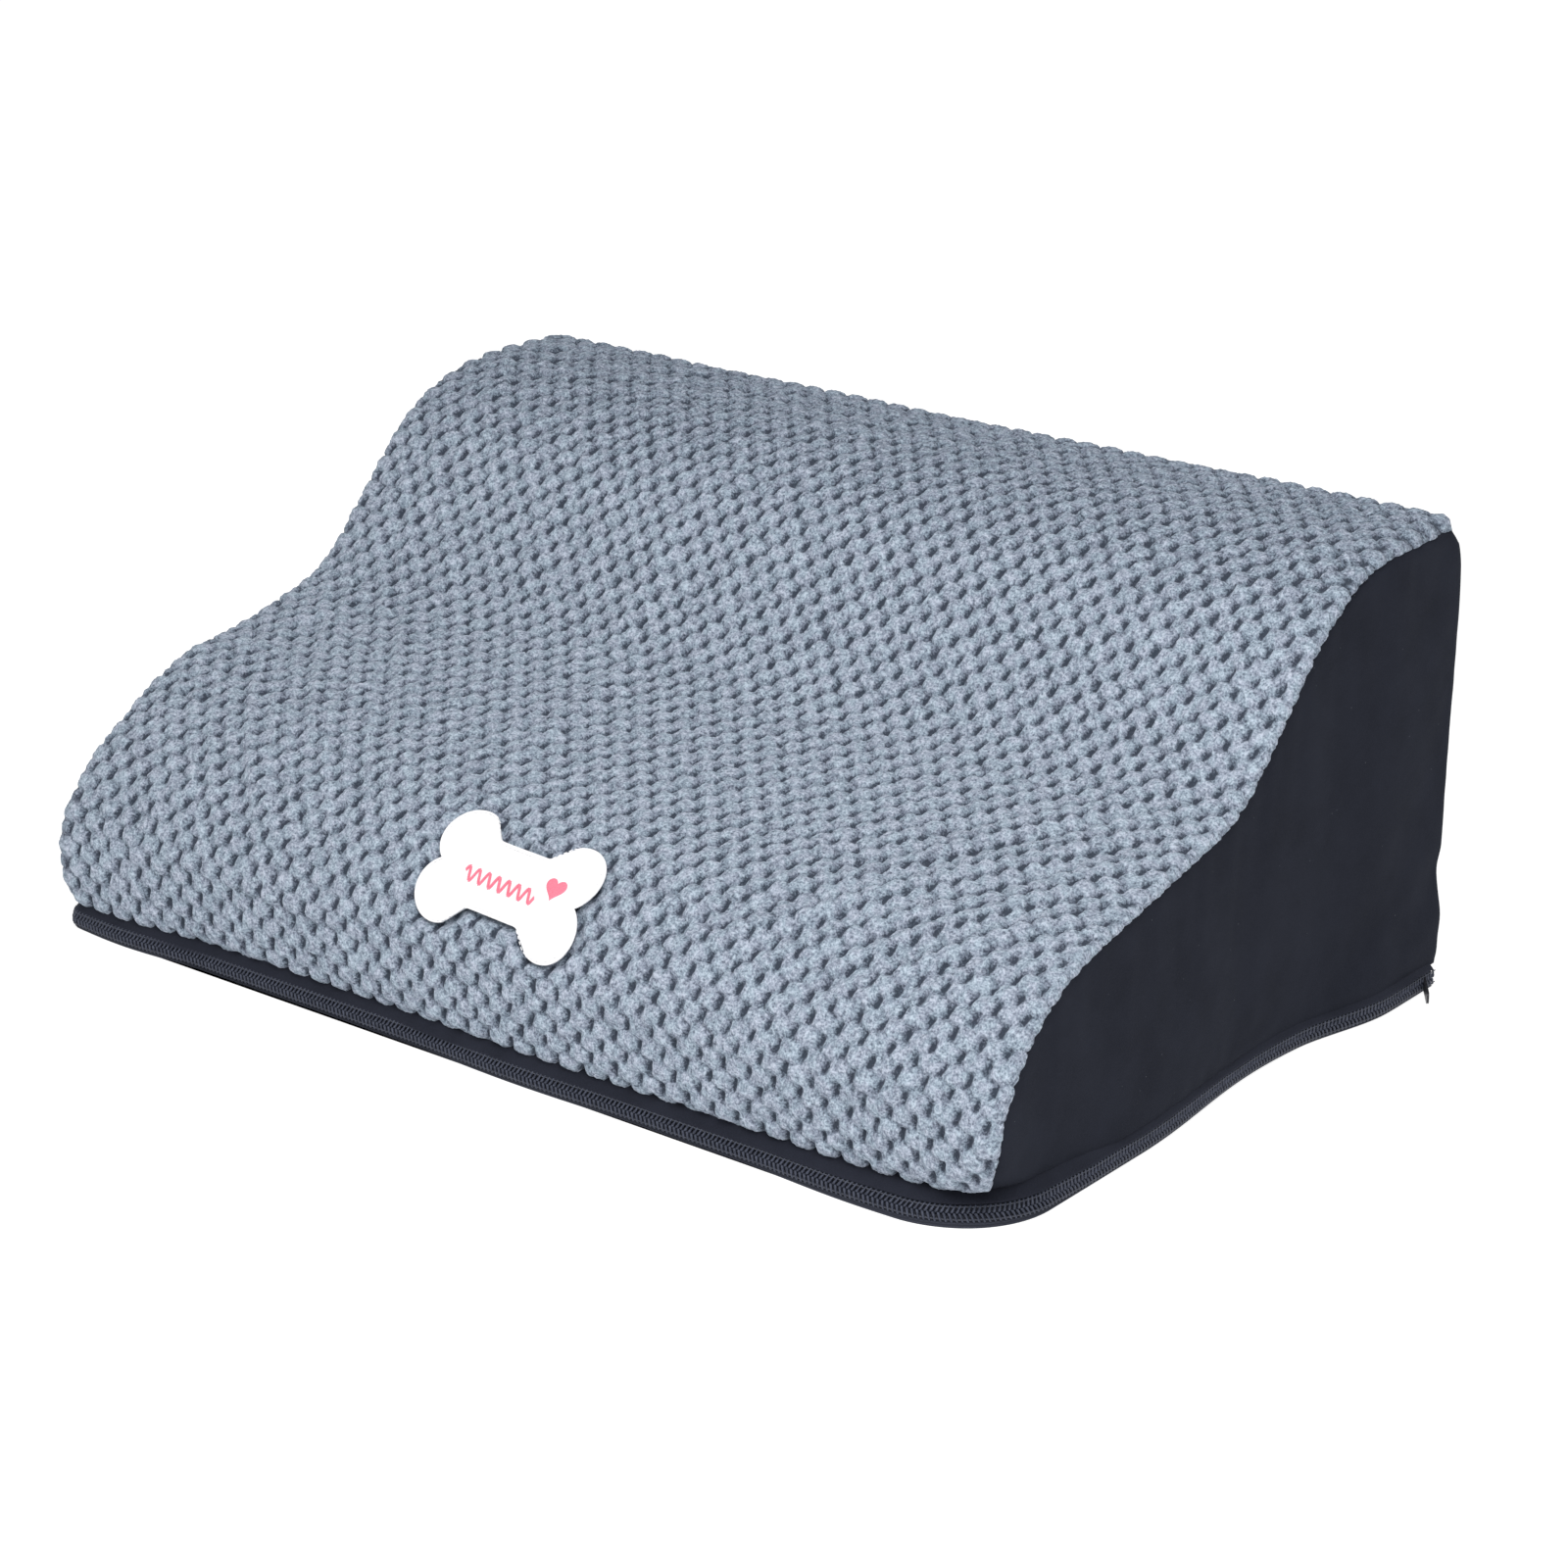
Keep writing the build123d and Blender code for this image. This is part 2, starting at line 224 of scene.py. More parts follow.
def side_wave(side, y, z):
    """How far the soft side stands out from flat: it pulls in at mid depth and bulges towards the back."""
    strength = 1.0 if side == RIGHT else 0.7
    pull = -7.8 * MM * hump(y, 42 * MM, 115 * MM) * np.exp(-z / (60 * MM))
    low = 1 - smoothstep((z - 22 * MM) / (30 * MM))
    bulge = 7.2 * MM * smoothstep((y - 78 * MM) / (68 * MM)) * (0.72 + 0.28 * low)
    creases = 1.6 * MM * hump(y, SEAM_BACK, 40 * MM) * (hump(z, 40 * MM, 16 * MM) - hump(z, 64 * MM, 14 * MM))
    return strength * (pull + bulge + creases)


def crest_pull(y, z):
    """How far the cover's sides draw in at the crest, most of all at its rear corners."""
    top = smoothstep((z - (HEIGHT - 25 * MM)) / (25 * MM))
    rear = np.clip((z - (HEIGHT - 50 * MM)) / (50 * MM), 0, 1) ** 2 * smoothstep((y - 150 * MM) / (50 * MM))
    return 2 * MM * top + 2.6 * MM * rear


def front_wave(x):
    """How far the front's lower edge stands out from straight."""
    return 3.5 * MM * hump(x, -255 * MM, 60 * MM) + 2 * MM * (hump(x, 20 * MM, 80 * MM) + hump(x, 220 * MM, 60 * MM))


def end_puff(x, s):
    """How far the fleece stands out from the even profile, at s along it: round the low step's left end,
    and towards the crest's right end."""
    left = np.exp(-(x + HALF) / (60 * MM))
    low = 4.8 * MM * hump(s, 36 * MM, 54 * MM) - 2.5 * MM * hump(s, 110 * MM, 32 * MM)
    crest = smoothstep(x / (250 * MM)) * smoothstep((s - 400 * MM) / (60 * MM))
    return left * (low + 3 * MM * hump(s, 166 * MM, 36 * MM)) + 1.8 * MM * crest


def edge_lean(t):
    """How far the cover leans in from the base's edge at the height of the hem."""
    stops = [0, corner_start[LEFT] - 30 * MM, corner_middle[LEFT], corner_middle[LEFT] + 60 * MM,
             corner_start[RIGHT] - 90 * MM, corner_middle[RIGHT], corner_middle[RIGHT] + 75 * MM, EDGE_LENGTH]
    lean = [LEAN["side"], LEAN["side"], LEAN[LEFT], LEAN["front"], LEAN["front"], LEAN[RIGHT], LEAN["side"],
            LEAN["side"]]
    return np.interp(t, stops, lean)


def skirt(t, z, out=0.0):
    """A point of the cover's lower edge: t along the base's edge, at height z, standing out by out."""
    t, z, out = np.broadcast_arrays(t, z, out)
    place, normal = sample(base_edge, t), -sample_normals(base_edge, t)
    side = np.where(t > EDGE_LENGTH / 2, RIGHT, LEFT)
    sideways = np.abs(normal[..., 0]) ** 2
    wave = np.where(side == RIGHT, side_wave(RIGHT, place[..., 1], z), side_wave(LEFT, place[..., 1], z))
    away = out - edge_lean(t) * z / HEM_Z + wave * sideways
    away = away + np.where(normal[..., 1] < 0, front_wave(place[..., 0]) * (1 - sideways), 0)
    return np.concatenate([place + normal * away[..., None], z[..., None]], axis=-1)


def sharpness(z):
    """0 at the hem, where the front corners are round, and 1 where they are sharp."""
    left = 1 - np.clip((z - HEM_Z) / SHARP_RISE, 0, 1)
    return 1 - left * left


def corner_shape(side, z):
    """A front corner's plan at height z: sharpness, radius, half width, and how far round the fleece goes."""
    sharp = sharpness(z)
    radius = CORNER[side] - LEAN[side] + (ROLL - CORNER[side] + LEAN[side]) * sharp
    half = HALF - LEAN[side] + (SIDE_X - HALF + LEAN[side]) * sharp
    turn = HEM_TURN[side] + (np.pi / 2 - HEM_TURN[side]) * sharp**6
    return sharp, radius, half, turn


def setback(side, x, sharp):
    """How far the front leans in at x, towards the hem."""
    stops = [HALF - CORNER[side] - 90 * MM, HALF - CORNER[side]]
    return (np.interp(np.abs(x), stops, [LEAN["front"], LEAN[side]]) - front_wave(x)) * (1 - sharp)


def corner_curve(at, radius, half, turn):
    """A plan curve by its length from the middle: straight, round by turn, then hooked in to a seam.
    Returns x, how far in from the straight front, and the angle turned."""
    straight = half - radius
    angle = np.clip((at - straight) / radius, 0, turn)
    x = np.minimum(at, straight) + radius * np.sin(angle)
    depth = radius * (1 - np.cos(angle))
    hook = np.clip((at - straight - radius * turn) / HOOK, 0, np.pi / 2)
    rest = np.maximum(at - straight - radius * turn - HOOK * np.pi / 2, 0)
    ahead, across = HOOK * np.sin(hook), HOOK * (1 - np.cos(hook)) + rest
    x = x + ahead * np.cos(turn) - across * np.sin(turn)
    depth = depth + ahead * np.sin(turn) + across * np.cos(turn)
    return x, depth, angle


def backing(q, s):
    """The fleece's backing. q runs from -1 at the left edge to 1 at the right, s along the profile.
    Returns the points and the length across from the middle."""
    place, normal = sample(backing_profile, s), sample_normals(backing_profile, s)
    y, z = place[..., 0], place[..., 1]
    upright = backing_profile[np.argmin(backing_profile[:, 0]), 0]
    hem_tuck = np.where(z < HEM_Z + 2 * HEM_RADIUS, y - upright, 0)
    y = y - hem_tuck
    low, back = z < HEM_Z + 2 * HEM_RADIUS, y > BACK - REAR_RADIUS
    out_y = np.where(low, -1.0, np.where(back & (normal[..., 1] < 0), 1.0, normal[..., 0]))
    out_z = np.where(low | (back & (normal[..., 1] < 0)), 0.0, normal[..., 1])
    height = np.where(s < PROFILE_LENGTH / 2, z, HEIGHT)
    points, across = np.zeros(q.shape + (3,)), np.zeros(q.shape)
    for side in (LEFT, RIGHT):
        sharp, radius, half, turn = corner_shape(side, height)
        half = half - crest_pull(y, z)
        reach = half - radius + radius * turn + HOOK * (np.pi / 2 + 1)
        x, depth, angle = corner_curve(np.abs(q) * reach, radius, half, turn)
        depth = depth + setback(side, side * x, sharp) + hem_tuck * np.cos(angle)
        x = x - hem_tuck * np.sin(angle)
        drop = (1 - sharp) * side * x / HALF * 1.2 * MM
        there = np.stack([side * x, y - depth * out_y, z - depth * out_z + drop], axis=-1)
        on = q * side >= 0
        points[on], across[on] = there[on], (side * np.abs(q) * reach)[on]
    return points, across


def grid_normals(points):
    du, dv = np.gradient(points, axis=0), np.gradient(points, axis=1)
    n = np.cross(du, dv)
    return n / np.maximum(np.linalg.norm(n, axis=2, keepdims=True), 1e-12)


# ---------------------------------------------------------------- meshes


def make_mesh(name, verts, faces, smooth=True):
    mesh = bpy.data.meshes.new(name)
    mesh.from_pydata(np.asarray(verts).reshape(-1, 3).tolist(), [], [list(f) for f in faces])
    mesh.update()
    mesh.polygons.foreach_set("use_smooth", [smooth] * len(mesh.polygons))
    obj = bpy.data.objects.new(name, mesh)
    bpy.context.scene.collection.objects.link(obj)
    return obj


def grid_faces(rows, columns, wrap=False):
    across = columns if wrap else columns - 1
    i, j = np.meshgrid(np.arange(rows - 1), np.arange(across), indexing="ij")
    j_next = (j + 1) % columns
    corners = [i * columns + j, (i + 1) * columns + j, (i + 1) * columns + j_next, i * columns + j_next]
    return np.stack([c.ravel() for c in corners], axis=1)


def grid_object(name, points, wrap=False, flip=False):
    rows, columns = points.shape[:2]
    faces = grid_faces(rows, columns, wrap)
    return make_mesh(name, points, faces[:, ::-1] if flip else faces)


def add_attribute(obj, name, values):
    attribute = obj.data.attributes.new(name, "FLOAT", "POINT")
    attribute.data.foreach_set("value", np.asarray(values, np.float32).ravel())


def repeated(name, template, faces, origins, axes):
    """One mesh of a template repeated: template is (n, 3) in each copy's own axes (k, 3, 3)."""
    verts = origins[:, None, :] + np.einsum("nc,kcd->knd", template, axes)
    n = len(template)
    every = [tuple(v + n * k for v in f) for k in range(len(origins)) for f in faces]
    return make_mesh(name, verts, every)


def tube(rings, sides=8):
    """A closed tube through rings of (x, y, z, radius) in the YZ plane, running mostly along Y."""
    angles = np.arange(sides) * 2 * np.pi / sides
    verts = [(rings[0][0], rings[0][1], rings[0][2])]
    for x, y, z, r in rings[1:-1]:
        verts += [(x + r * np.cos(a), y, z + r * np.sin(a)) for a in angles]
    verts.append((rings[-1][0], rings[-1][1], rings[-1][2]))
    faces = [(0, 1 + (k + 1) % sides, 1 + k) for k in range(sides)]
    count = len(rings) - 2
    for i in range(count - 1):
        a = 1 + i * sides
        faces += [(a + k, a + (k + 1) % sides, a + sides + (k + 1) % sides, a + sides + k) for k in range(sides)]
    last, a = len(verts) - 1, 1 + (count - 1) * sides
    faces += [(last, a + k, a + (k + 1) % sides) for k in range(sides)]
    return np.array(verts), faces


# ---------------------------------------------------------------- fleece heights


def lattice(across, along):
    """Rows of popcorn bumps, each row half a pitch from the next, with a pit beside every bump.
    Returns the bumps' height and the pits' depth, each from 0 to 1."""
    rows, columns = 140, 120
    jitter = rng.uniform(-1, 1, (rows, columns, 6))
    along = along + ROW_SLANT * across
    row = np.floor(along / ROW_PITCH).astype(int)
    domes, pits = np.zeros(across.shape), np.zeros(across.shape)
    for dr in (-1, 0, 1, 2):
        r = row + dr
        shift = 0.5 * (r % 2)
        column = np.floor(across / BUMP_PITCH - shift).astype(int)
        for dc in (-1, 0, 1):
            c = column + dc
            j = jitter[(r + 20) % rows, (c + 60) % columns]
            x = across - (c + shift + 0.05 * j[..., 0]) * BUMP_PITCH
            y = along - (r + 0.08 * j[..., 1]) * ROW_PITCH
            d2 = (x / np.where(x > 0, 6.9 * MM, 7.9 * MM)) ** 2 + (y / (5.6 * MM)) ** 2
            domes = np.maximum(domes, np.sqrt(np.clip(1 - d2, 0, 1)) * (1 + 0.06 * j[..., 2]))
            x = x - BUMP_PITCH / 2 - 0.25 * y
            d2 = (x / (1.75 * MM * (1 + 0.15 * j[..., 3]))) ** 2 + (y / (3.4 * MM * (1 + 0.12 * j[..., 4]))) ** 2
            pits = np.maximum(pits, np.exp(-(d2**1.3)) * (0.88 + 0.12 * j[..., 5]))
    return domes, pits


def curl_height(across, along, pitch, seed):
    """Height from 0 to 1 of small round lumps at random places about pitch apart."""
    local = np.random.default_rng(seed)
    size = 521
    place = local.uniform(0.1, 0.9, (size, size, 2))
    i, j = np.floor(across / pitch).astype(int), np.floor(along / pitch).astype(int)
    nearest = np.full(across.shape, 9.0)
    for di in (-1, 0, 1):
        for dj in (-1, 0, 1):
            p = place[(i + di) % size, (j + dj) % size]
            d = (across / pitch - (i + di) - p[..., 0]) ** 2 + (along / pitch - (j + dj) - p[..., 1]) ** 2
            nearest = np.minimum(nearest, d)
    return np.clip(1 - np.sqrt(nearest) / 0.95, 0, 1)


def soft_noise(x, y, scale, seed):
    """Smooth random values from -1 to 1, varying over about scale."""
    local = np.random.default_rng(seed)
    table = local.uniform(-1, 1, (64, 64))
    u, v = x / scale + 31.3, y / scale + 17.7
    i, j = np.floor(u).astype(int), np.floor(v).astype(int)
    fu, fv = smoothstep(u - i), smoothstep(v - j)
    at = lambda a, b: table[a % 64, b % 64]
    low = at(i, j) * (1 - fu) + at(i + 1, j) * fu
    high = at(i, j + 1) * (1 - fu) + at(i + 1, j + 1) * fu
    return low * (1 - fv) + high * fv


# ---------------------------------------------------------------- cloth simulation


def simulate(points, pinned, frames, slack, pressure=0.0, gravity=0.0, collider=None, cap=6 * MM):
    """Drapes a grid of points as cloth and returns how far each moved along its normal.
    slack is the share by which the cloth is cut larger than the space it spans."""
    cloth = grid_object("cloth_run", points)
    group = cloth.vertex_groups.new(name="pin")
    for index in np.flatnonzero(pinned.ravel()):
        group.add([int(index)], 1.0, "REPLACE")
    modifier = cloth.modifiers.new("Cloth", "CLOTH")
    settings = modifier.settings
    settings.quality = 6
    settings.mass = 0.35
    settings.tension_stiffness = settings.compression_stiffness = 18
    settings.shear_stiffness = 6
    settings.bending_stiffness = 2.5
    settings.vertex_group_mass = "pin"
    settings.shrink_min = -slack
    settings.use_pressure = pressure != 0
    settings.uniform_pressure_force = pressure
    settings.effector_weights.gravity = gravity
    modifier.collision_settings.use_collision = collider is not None
    modifier.collision_settings.distance_min = 0.8 * MM
    block = None
    if collider is not None:
        block = grid_object("cloth_block", collider)
        block.modifiers.new("Collision", "COLLISION")
        block.collision.thickness_outer = 0.8 * MM
    modifier.point_cache.frame_end = frames
    scene = bpy.context.scene
    for number in range(1, frames + 1):
        scene.frame_set(number)
    evaluated = cloth.evaluated_get(bpy.context.evaluated_depsgraph_get())
    mesh = evaluated.to_mesh()
    moved = np.zeros(len(mesh.vertices) * 3, np.float32)
    mesh.vertices.foreach_get("co", moved)
    evaluated.to_mesh_clear()
    for helper in (cloth, block):
        if helper is not None:
            bpy.data.objects.remove(helper)
    scene.frame_set(1)
    moved = moved.reshape(points.shape).astype(float)
    off = ((moved - points) * grid_normals(points)).sum(axis=2)
    return np.clip(np.nan_to_num(off), -cap, cap)


def refine(values, rows, columns):
    """A coarse grid of values at more rows and columns, by smooth cubic interpolation."""
    def along_first(v, count):
        at = np.linspace(0, len(v) - 1, count)
        i = np.clip(np.floor(at).astype(int), 0, len(v) - 2)
        f = (at - i)[:, None]
        p = [v[np.clip(i + k, 0, len(v) - 1)] for k in (-1, 0, 1, 2)]
        return 0.5 * (2 * p[1] + (p[2] - p[0]) * f + (2 * p[0] - 5 * p[1] + 4 * p[2] - p[3]) * f**2
                      + (3 * (p[1] - p[2]) + p[3] - p[0]) * f**3)
    return along_first(along_first(values, rows).T, columns).T


# ---------------------------------------------------------------- pieces


ACROSS = SIDE_X + ROLL * (np.pi / 2 - 1) + HOOK * (np.pi / 2 + 1)  # half the fleece's width, edge turns and all


def make_fleece():
    rows = int(PROFILE_LENGTH / FLEECE_STEP)
    columns = int(2 * ACROSS / FLEECE_STEP)
    q, s = np.meshgrid(np.linspace(-1, 1, columns), np.linspace(0, PROFILE_LENGTH, rows))
    base, across = backing(q, s)
    off = fleece_sag(rows, columns)
    normal = -grid_normals(base)
    domes, pits = lattice(across, s)
    pits = pits * smoothstep((1 - np.abs(q)) * ACROSS / (6 * MM))
    bumps = (0.26 + 0.74 * domes**0.65) * (1 - 0.85 * pits)
    curls = curl_height(across, s, CURL_PITCH, 3)
    tuck = smoothstep(s / (5 * MM)) * smoothstep((PROFILE_LENGTH - s) / (5 * MM))
    edge = smoothstep((1 - np.abs(q)) * ACROSS / (2 * MM))
    labelled = under_label(base, across)
    pressed = 1 - 0.65 * labelled
    rise = (bumps * BUMP + (curls - 0.5) * CURL * (0.4 + 0.6 * bumps)) * tuck * edge * pressed
    rise += off * (1 - labelled) + end_puff(base[..., 0], s) * edge
    obj = grid_object("fleece_top", base + normal * rise[..., None], flip=True)
    # The bumps' height, pits and curls stored here paint shade into the fleece's colour.
    add_attribute(obj, "nap", domes)
    add_attribute(obj, "pit", pits)
    add_attribute(obj, "curl", curls)
    # Painted shade: the fleece's colour darkens towards the crest.
    add_attribute(obj, "crest_shade", smoothstep((base[..., 2] - CREST_SHADE_FROM) / (HEIGHT - CREST_SHADE_FROM)))
    obj.data.materials.append(fleece_material())
    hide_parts("top_panel")
    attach(obj, "ramp")
    return obj


def fleece_sag(rows, columns):
    """How far the fleece stands off its even shape, from a coarse cloth simulation over the foam."""
    n_s, n_q = 62, 80
    q, s = np.meshgrid(np.linspace(-1, 1, n_q), np.linspace(0, PROFILE_LENGTH, n_s))
    base, _ = backing(q, s)
    normal = -grid_normals(base)
    pinned = np.zeros(q.shape, bool)
    pinned[:5], pinned[-4:], pinned[:, :2], pinned[:, -2:] = True, True, True, True
    off = simulate((base + normal * 1.2 * MM)[::-1], pinned[::-1], 40, 0.02, gravity=1.0,
                   collider=(base - normal * 0.4 * MM)[::-1], cap=3 * MM)[::-1]
    fade = smoothstep((1 - np.abs(q)) * 8)
    return refine(off * fade, rows, columns)


LABEL_CENTRE = np.radians(41)  # round the nose, up from level
LABEL_X, LABEL_TURN = -4.5 * MM, np.radians(-3)
LABEL_LENGTH, LABEL_WIDTH = 104 * MM, 62 * MM
LABEL_LOBE, LABEL_SHAFT = 17 * MM, 18.5 * MM  # a lobe's radius and half the shaft's width


def bone_distance(x, y):
    """Distance outside the bone's outline, with the corners between its lobes and shaft filled."""
    x, y = np.abs(x), np.abs(y)
    lobe = np.hypot(x - (LABEL_LENGTH / 2 - LABEL_LOBE), y - (LABEL_WIDTH / 2 - LABEL_LOBE)) - LABEL_LOBE
    shaft = np.maximum(x - (LABEL_LENGTH / 2 - LABEL_LOBE), y - LABEL_SHAFT)
    fill = 4 * MM
    blend = np.clip(0.5 + 0.5 * (lobe - shaft) / fill, 0, 1)
    return lobe + (shaft - lobe) * blend - fill * blend * (1 - blend)


def nose_centre():
    climb = np.arctan2(WAIST_CORNER[1] - NOSE_CORNER[1], WAIST_CORNER[0])
    return np.array([FRONT + NOSE_RADIUS, NOSE_CORNER[1] - NOSE_RADIUS * np.tan((np.pi / 2 - climb) / 2)])


def label_point(x, y, lift):
    """A point on the label: x across, y up from its middle, lift above the nose."""
    c, s = np.cos(LABEL_TURN), np.sin(LABEL_TURN)
    x, y = np.asarray(x, float), np.asarray(y, float)
    angle = LABEL_CENTRE + (x * s + y * c) / NOSE_RADIUS
    centre = nose_centre()
    r = NOSE_RADIUS + OVER + lift
    points = LABEL_X + x * c - y * s, centre[0] - r * np.cos(angle), centre[1] + r * np.sin(angle)
    return np.stack(np.broadcast_arrays(*points), axis=-1)


def under_label(points, across):
    """1 where the label presses the fleece down, falling to 0 just outside it."""
    centre = nose_centre()
    up = (np.arctan2(points[..., 2] - centre[1], centre[0] - points[..., 1]) - LABEL_CENTRE) * NOSE_RADIUS
    c, s = np.cos(LABEL_TURN), np.sin(LABEL_TURN)
    x, y = (across - LABEL_X) * c + up * s, up * c - (across - LABEL_X) * s
    near = smoothstep(1 - bone_distance(x, y) / (5 * MM))
    return near * (points[..., 1] < FRONT + NOSE_RADIUS)


def bone_rim(steps):
    """The distance from the label's middle to its outline in each direction."""
    angles = np.arange(steps) * 2 * np.pi / steps
    reach = np.linspace(0, 60 * MM, 1200)
    inside = bone_distance(np.cos(angles)[:, None] * reach, np.sin(angles)[:, None] * reach) < 0
    first_out = np.argmin(inside, axis=1)
    return angles, reach[first_out]


def make_label():
    angles, rim = bone_rim(288)
    # Rings as (share of the way out, distance in from the rim, lift)
    rings = [(k, 0, 1.25 * MM) for k in np.linspace(0.02, 0.9, 12)]
    rings += [(1, d, z) for d, z in [(3.2 * MM, 1.25 * MM), (2.4 * MM, 1.0 * MM), (1.6 * MM, 1.2 * MM),
                                     (0.8 * MM, 1.25 * MM), (0.25 * MM, 1.05 * MM), (0, 0.7 * MM),
                                     (0.1 * MM, 0.1 * MM), (0.8 * MM, -0.4 * MM)]]
    points = []
    for share, inset, lift in rings:
        r = np.where(share < 1, share * (rim - 4 * MM), rim - inset)
        x, y = r * np.cos(angles), r * np.sin(angles)
        swell = 0.25 * MM * soft_noise(x, y, 14 * MM, 5)
        points.append(label_point(x, y, lift + 0.35 * MM + swell))
    points = np.array(points)
    steps = len(angles)
    verts = np.vstack([points.reshape(-1, 3), label_point(0, 0, 1.6 * MM)[None]])
    faces = [tuple(f) for f in grid_faces(len(rings), steps, wrap=True)[:, ::-1]]
    faces += [(len(verts) - 1, (k + 1) % steps, k) for k in range(steps)]
    obj = make_mesh("bone_patch", verts, [f[::-1] for f in faces])
    obj.data.materials.append(label_material())
    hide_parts("bone_label")
    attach(obj, "ramp")
    return obj


def stitch_line(name, places, ups, outs, length, radius, material, body, lift=0.0):
    """A row of short stitches centred on places; ups are across the seam and outs stand off it."""
    half = length / 2
    rings = [(0, -half, -radius, 0)]
    rings += [(0, half * np.sin(a), radius * (np.cos(a) * 1.6 - 1), radius * (0.55 + 0.45 * np.cos(a)))
              for a in np.radians((-72, -45, -15, 15, 45, 72))]
    rings += [(0, half, -radius, 0)]
    template, faces = tube(rings, 6)
    along = np.cross(outs, ups)
    along /= np.linalg.norm(along, axis=1, keepdims=True)
    axes = np.stack([ups, along, outs], axis=1)
    obj = repeated(name, template, faces, places + outs * lift, axes)
    obj.data.materials.append(material)
    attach(obj, body)
    return obj


def make_label_mark(material):
    """A generic mark: a small heart beside a wavy line of satin stitch."""
    turn = np.linspace(0, 2 * np.pi, 60, endpoint=False)
    heart = np.stack([16 * np.sin(turn) ** 3,
                      13 * np.cos(turn) - 5 * np.cos(2 * turn) - 2 * np.cos(3 * turn) - np.cos(4 * turn)], axis=1)
    middle = np.array([29 * MM, 5.5 * MM])
    heart = heart * 0.4 * MM + middle
    rings = [(0.3, 1.95), (0.7, 1.95), (0.93, 1.9), (1, 1.6)]
    points = np.array([label_point(*(middle + (heart - middle) * k).T, lift * MM) for k, lift in rings])
    verts = np.vstack([points.reshape(-1, 3), label_point(*middle, 1.95 * MM)[None]])
    faces = [tuple(f) for f in grid_faces(len(rings), 60, wrap=True)]
    faces += [(len(verts) - 1, k, (k + 1) % 60) for k in range(60)]
    obj = make_mesh("patch_heart", verts, faces)
    obj.data.materials.append(material)
    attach(obj, "ramp")
    along = np.linspace(-26 * MM, 20 * MM, 1200)
    wave = np.stack([along, -2.5 * MM + 3.4 * MM * np.sin(along * 2 * np.pi / (6.6 * MM))], axis=1)
    at = np.arange(0, length_along(wave)[-1], 0.62 * MM)
    x, y = sample(wave, at).T
    places = label_point(x, y, 1.75 * MM)
    ahead = sample(wave, at + 0.1 * MM) - sample(wave, at)
    ahead /= np.linalg.norm(ahead, axis=1, keepdims=True)
    slant = np.array([[0.8, -0.6], [0.6, 0.8]])
    stitch = ahead @ slant
    ups = label_point(x - stitch[:, 1] * MM, y + stitch[:, 0] * MM, 1.75 * MM) - places
    outs = label_point(x, y, 2.75 * MM) - places
    for directions in (ups, outs):
        directions /= np.linalg.norm(directions, axis=1, keepdims=True)
    stitch_line("patch_wave", places, -np.cross(ups, outs), outs, 1.9 * MM, 0.42 * MM, material, "ramp")


def make_label_edge(material):
    """White edge stitches round the label."""
    angles, rim = bone_rim(1440)
    outline = np.stack([(rim - 2.2 * MM) * np.cos(angles), (rim - 2.2 * MM) * np.sin(angles)], axis=1)
    total = length_along(outline)[-1]
    at = np.arange(0, total, 2.9 * MM)
    flat = sample(outline, at)
    ahead = sample(outline, at + 0.2 * MM) - flat
    ahead /= np.linalg.norm(ahead, axis=1, keepdims=True)
    places = label_point(flat[:, 0], flat[:, 1], 1.6 * MM)
    outs = label_point(flat[:, 0], flat[:, 1], 2.6 * MM) - places
    outs /= np.linalg.norm(outs, axis=1, keepdims=True)
    forward = label_point(flat[:, 0] + ahead[:, 0] * MM, flat[:, 1] + ahead[:, 1] * MM, 1.6 * MM) - places
    ups = np.cross(forward, outs)
    ups /= np.linalg.norm(ups, axis=1, keepdims=True)
    stitch_line("patch_edge_stitches", places, ups, outs, 2.1 * MM, 0.28 * MM, material, "ramp")


def side_surface(side, c, z):
    """The side panel: c runs from 0 at the fleece's edge on the front corner to 1 at the back."""
    sharp, radius, half, turn = corner_shape(side, z)
    half = half + 0.9 * MM * sharp * smoothstep(0.5 + c / 0.01)
    round_length = radius * (np.pi / 2 - turn)
    front = FRONT + BUMP - OVER + 1.2 * MM + nose_lean(z)
    front = front + (LEAN[side] - front_wave(side * HALF)) * (1 - sharp)
    total = round_length + BACK - 0.5 * MM - front - radius
    at = c * total
    angle = turn + np.minimum(at, round_length) / radius
    y = front + radius * (1 - np.cos(angle)) + np.maximum(at - round_length, 0)
    lean = np.interp(y, [FRONT + CORNER[side], FRONT + CORNER[side] + 60 * MM], [LEAN[side], LEAN["side"]])
    x = half - radius + radius * np.sin(angle) + (LEAN[side] - lean) * (1 - sharp)
    rear = np.clip((y - (BACK - 3.1 * MM)) / (2.6 * MM), 0, 1)
    x = x + side_wave(side, y, z) - crest_pull(y, z) - 2.6 * MM * (1 - np.sqrt(1 - rear**2))
    return np.stack(np.broadcast_arrays(side * x, y, z), axis=-1)


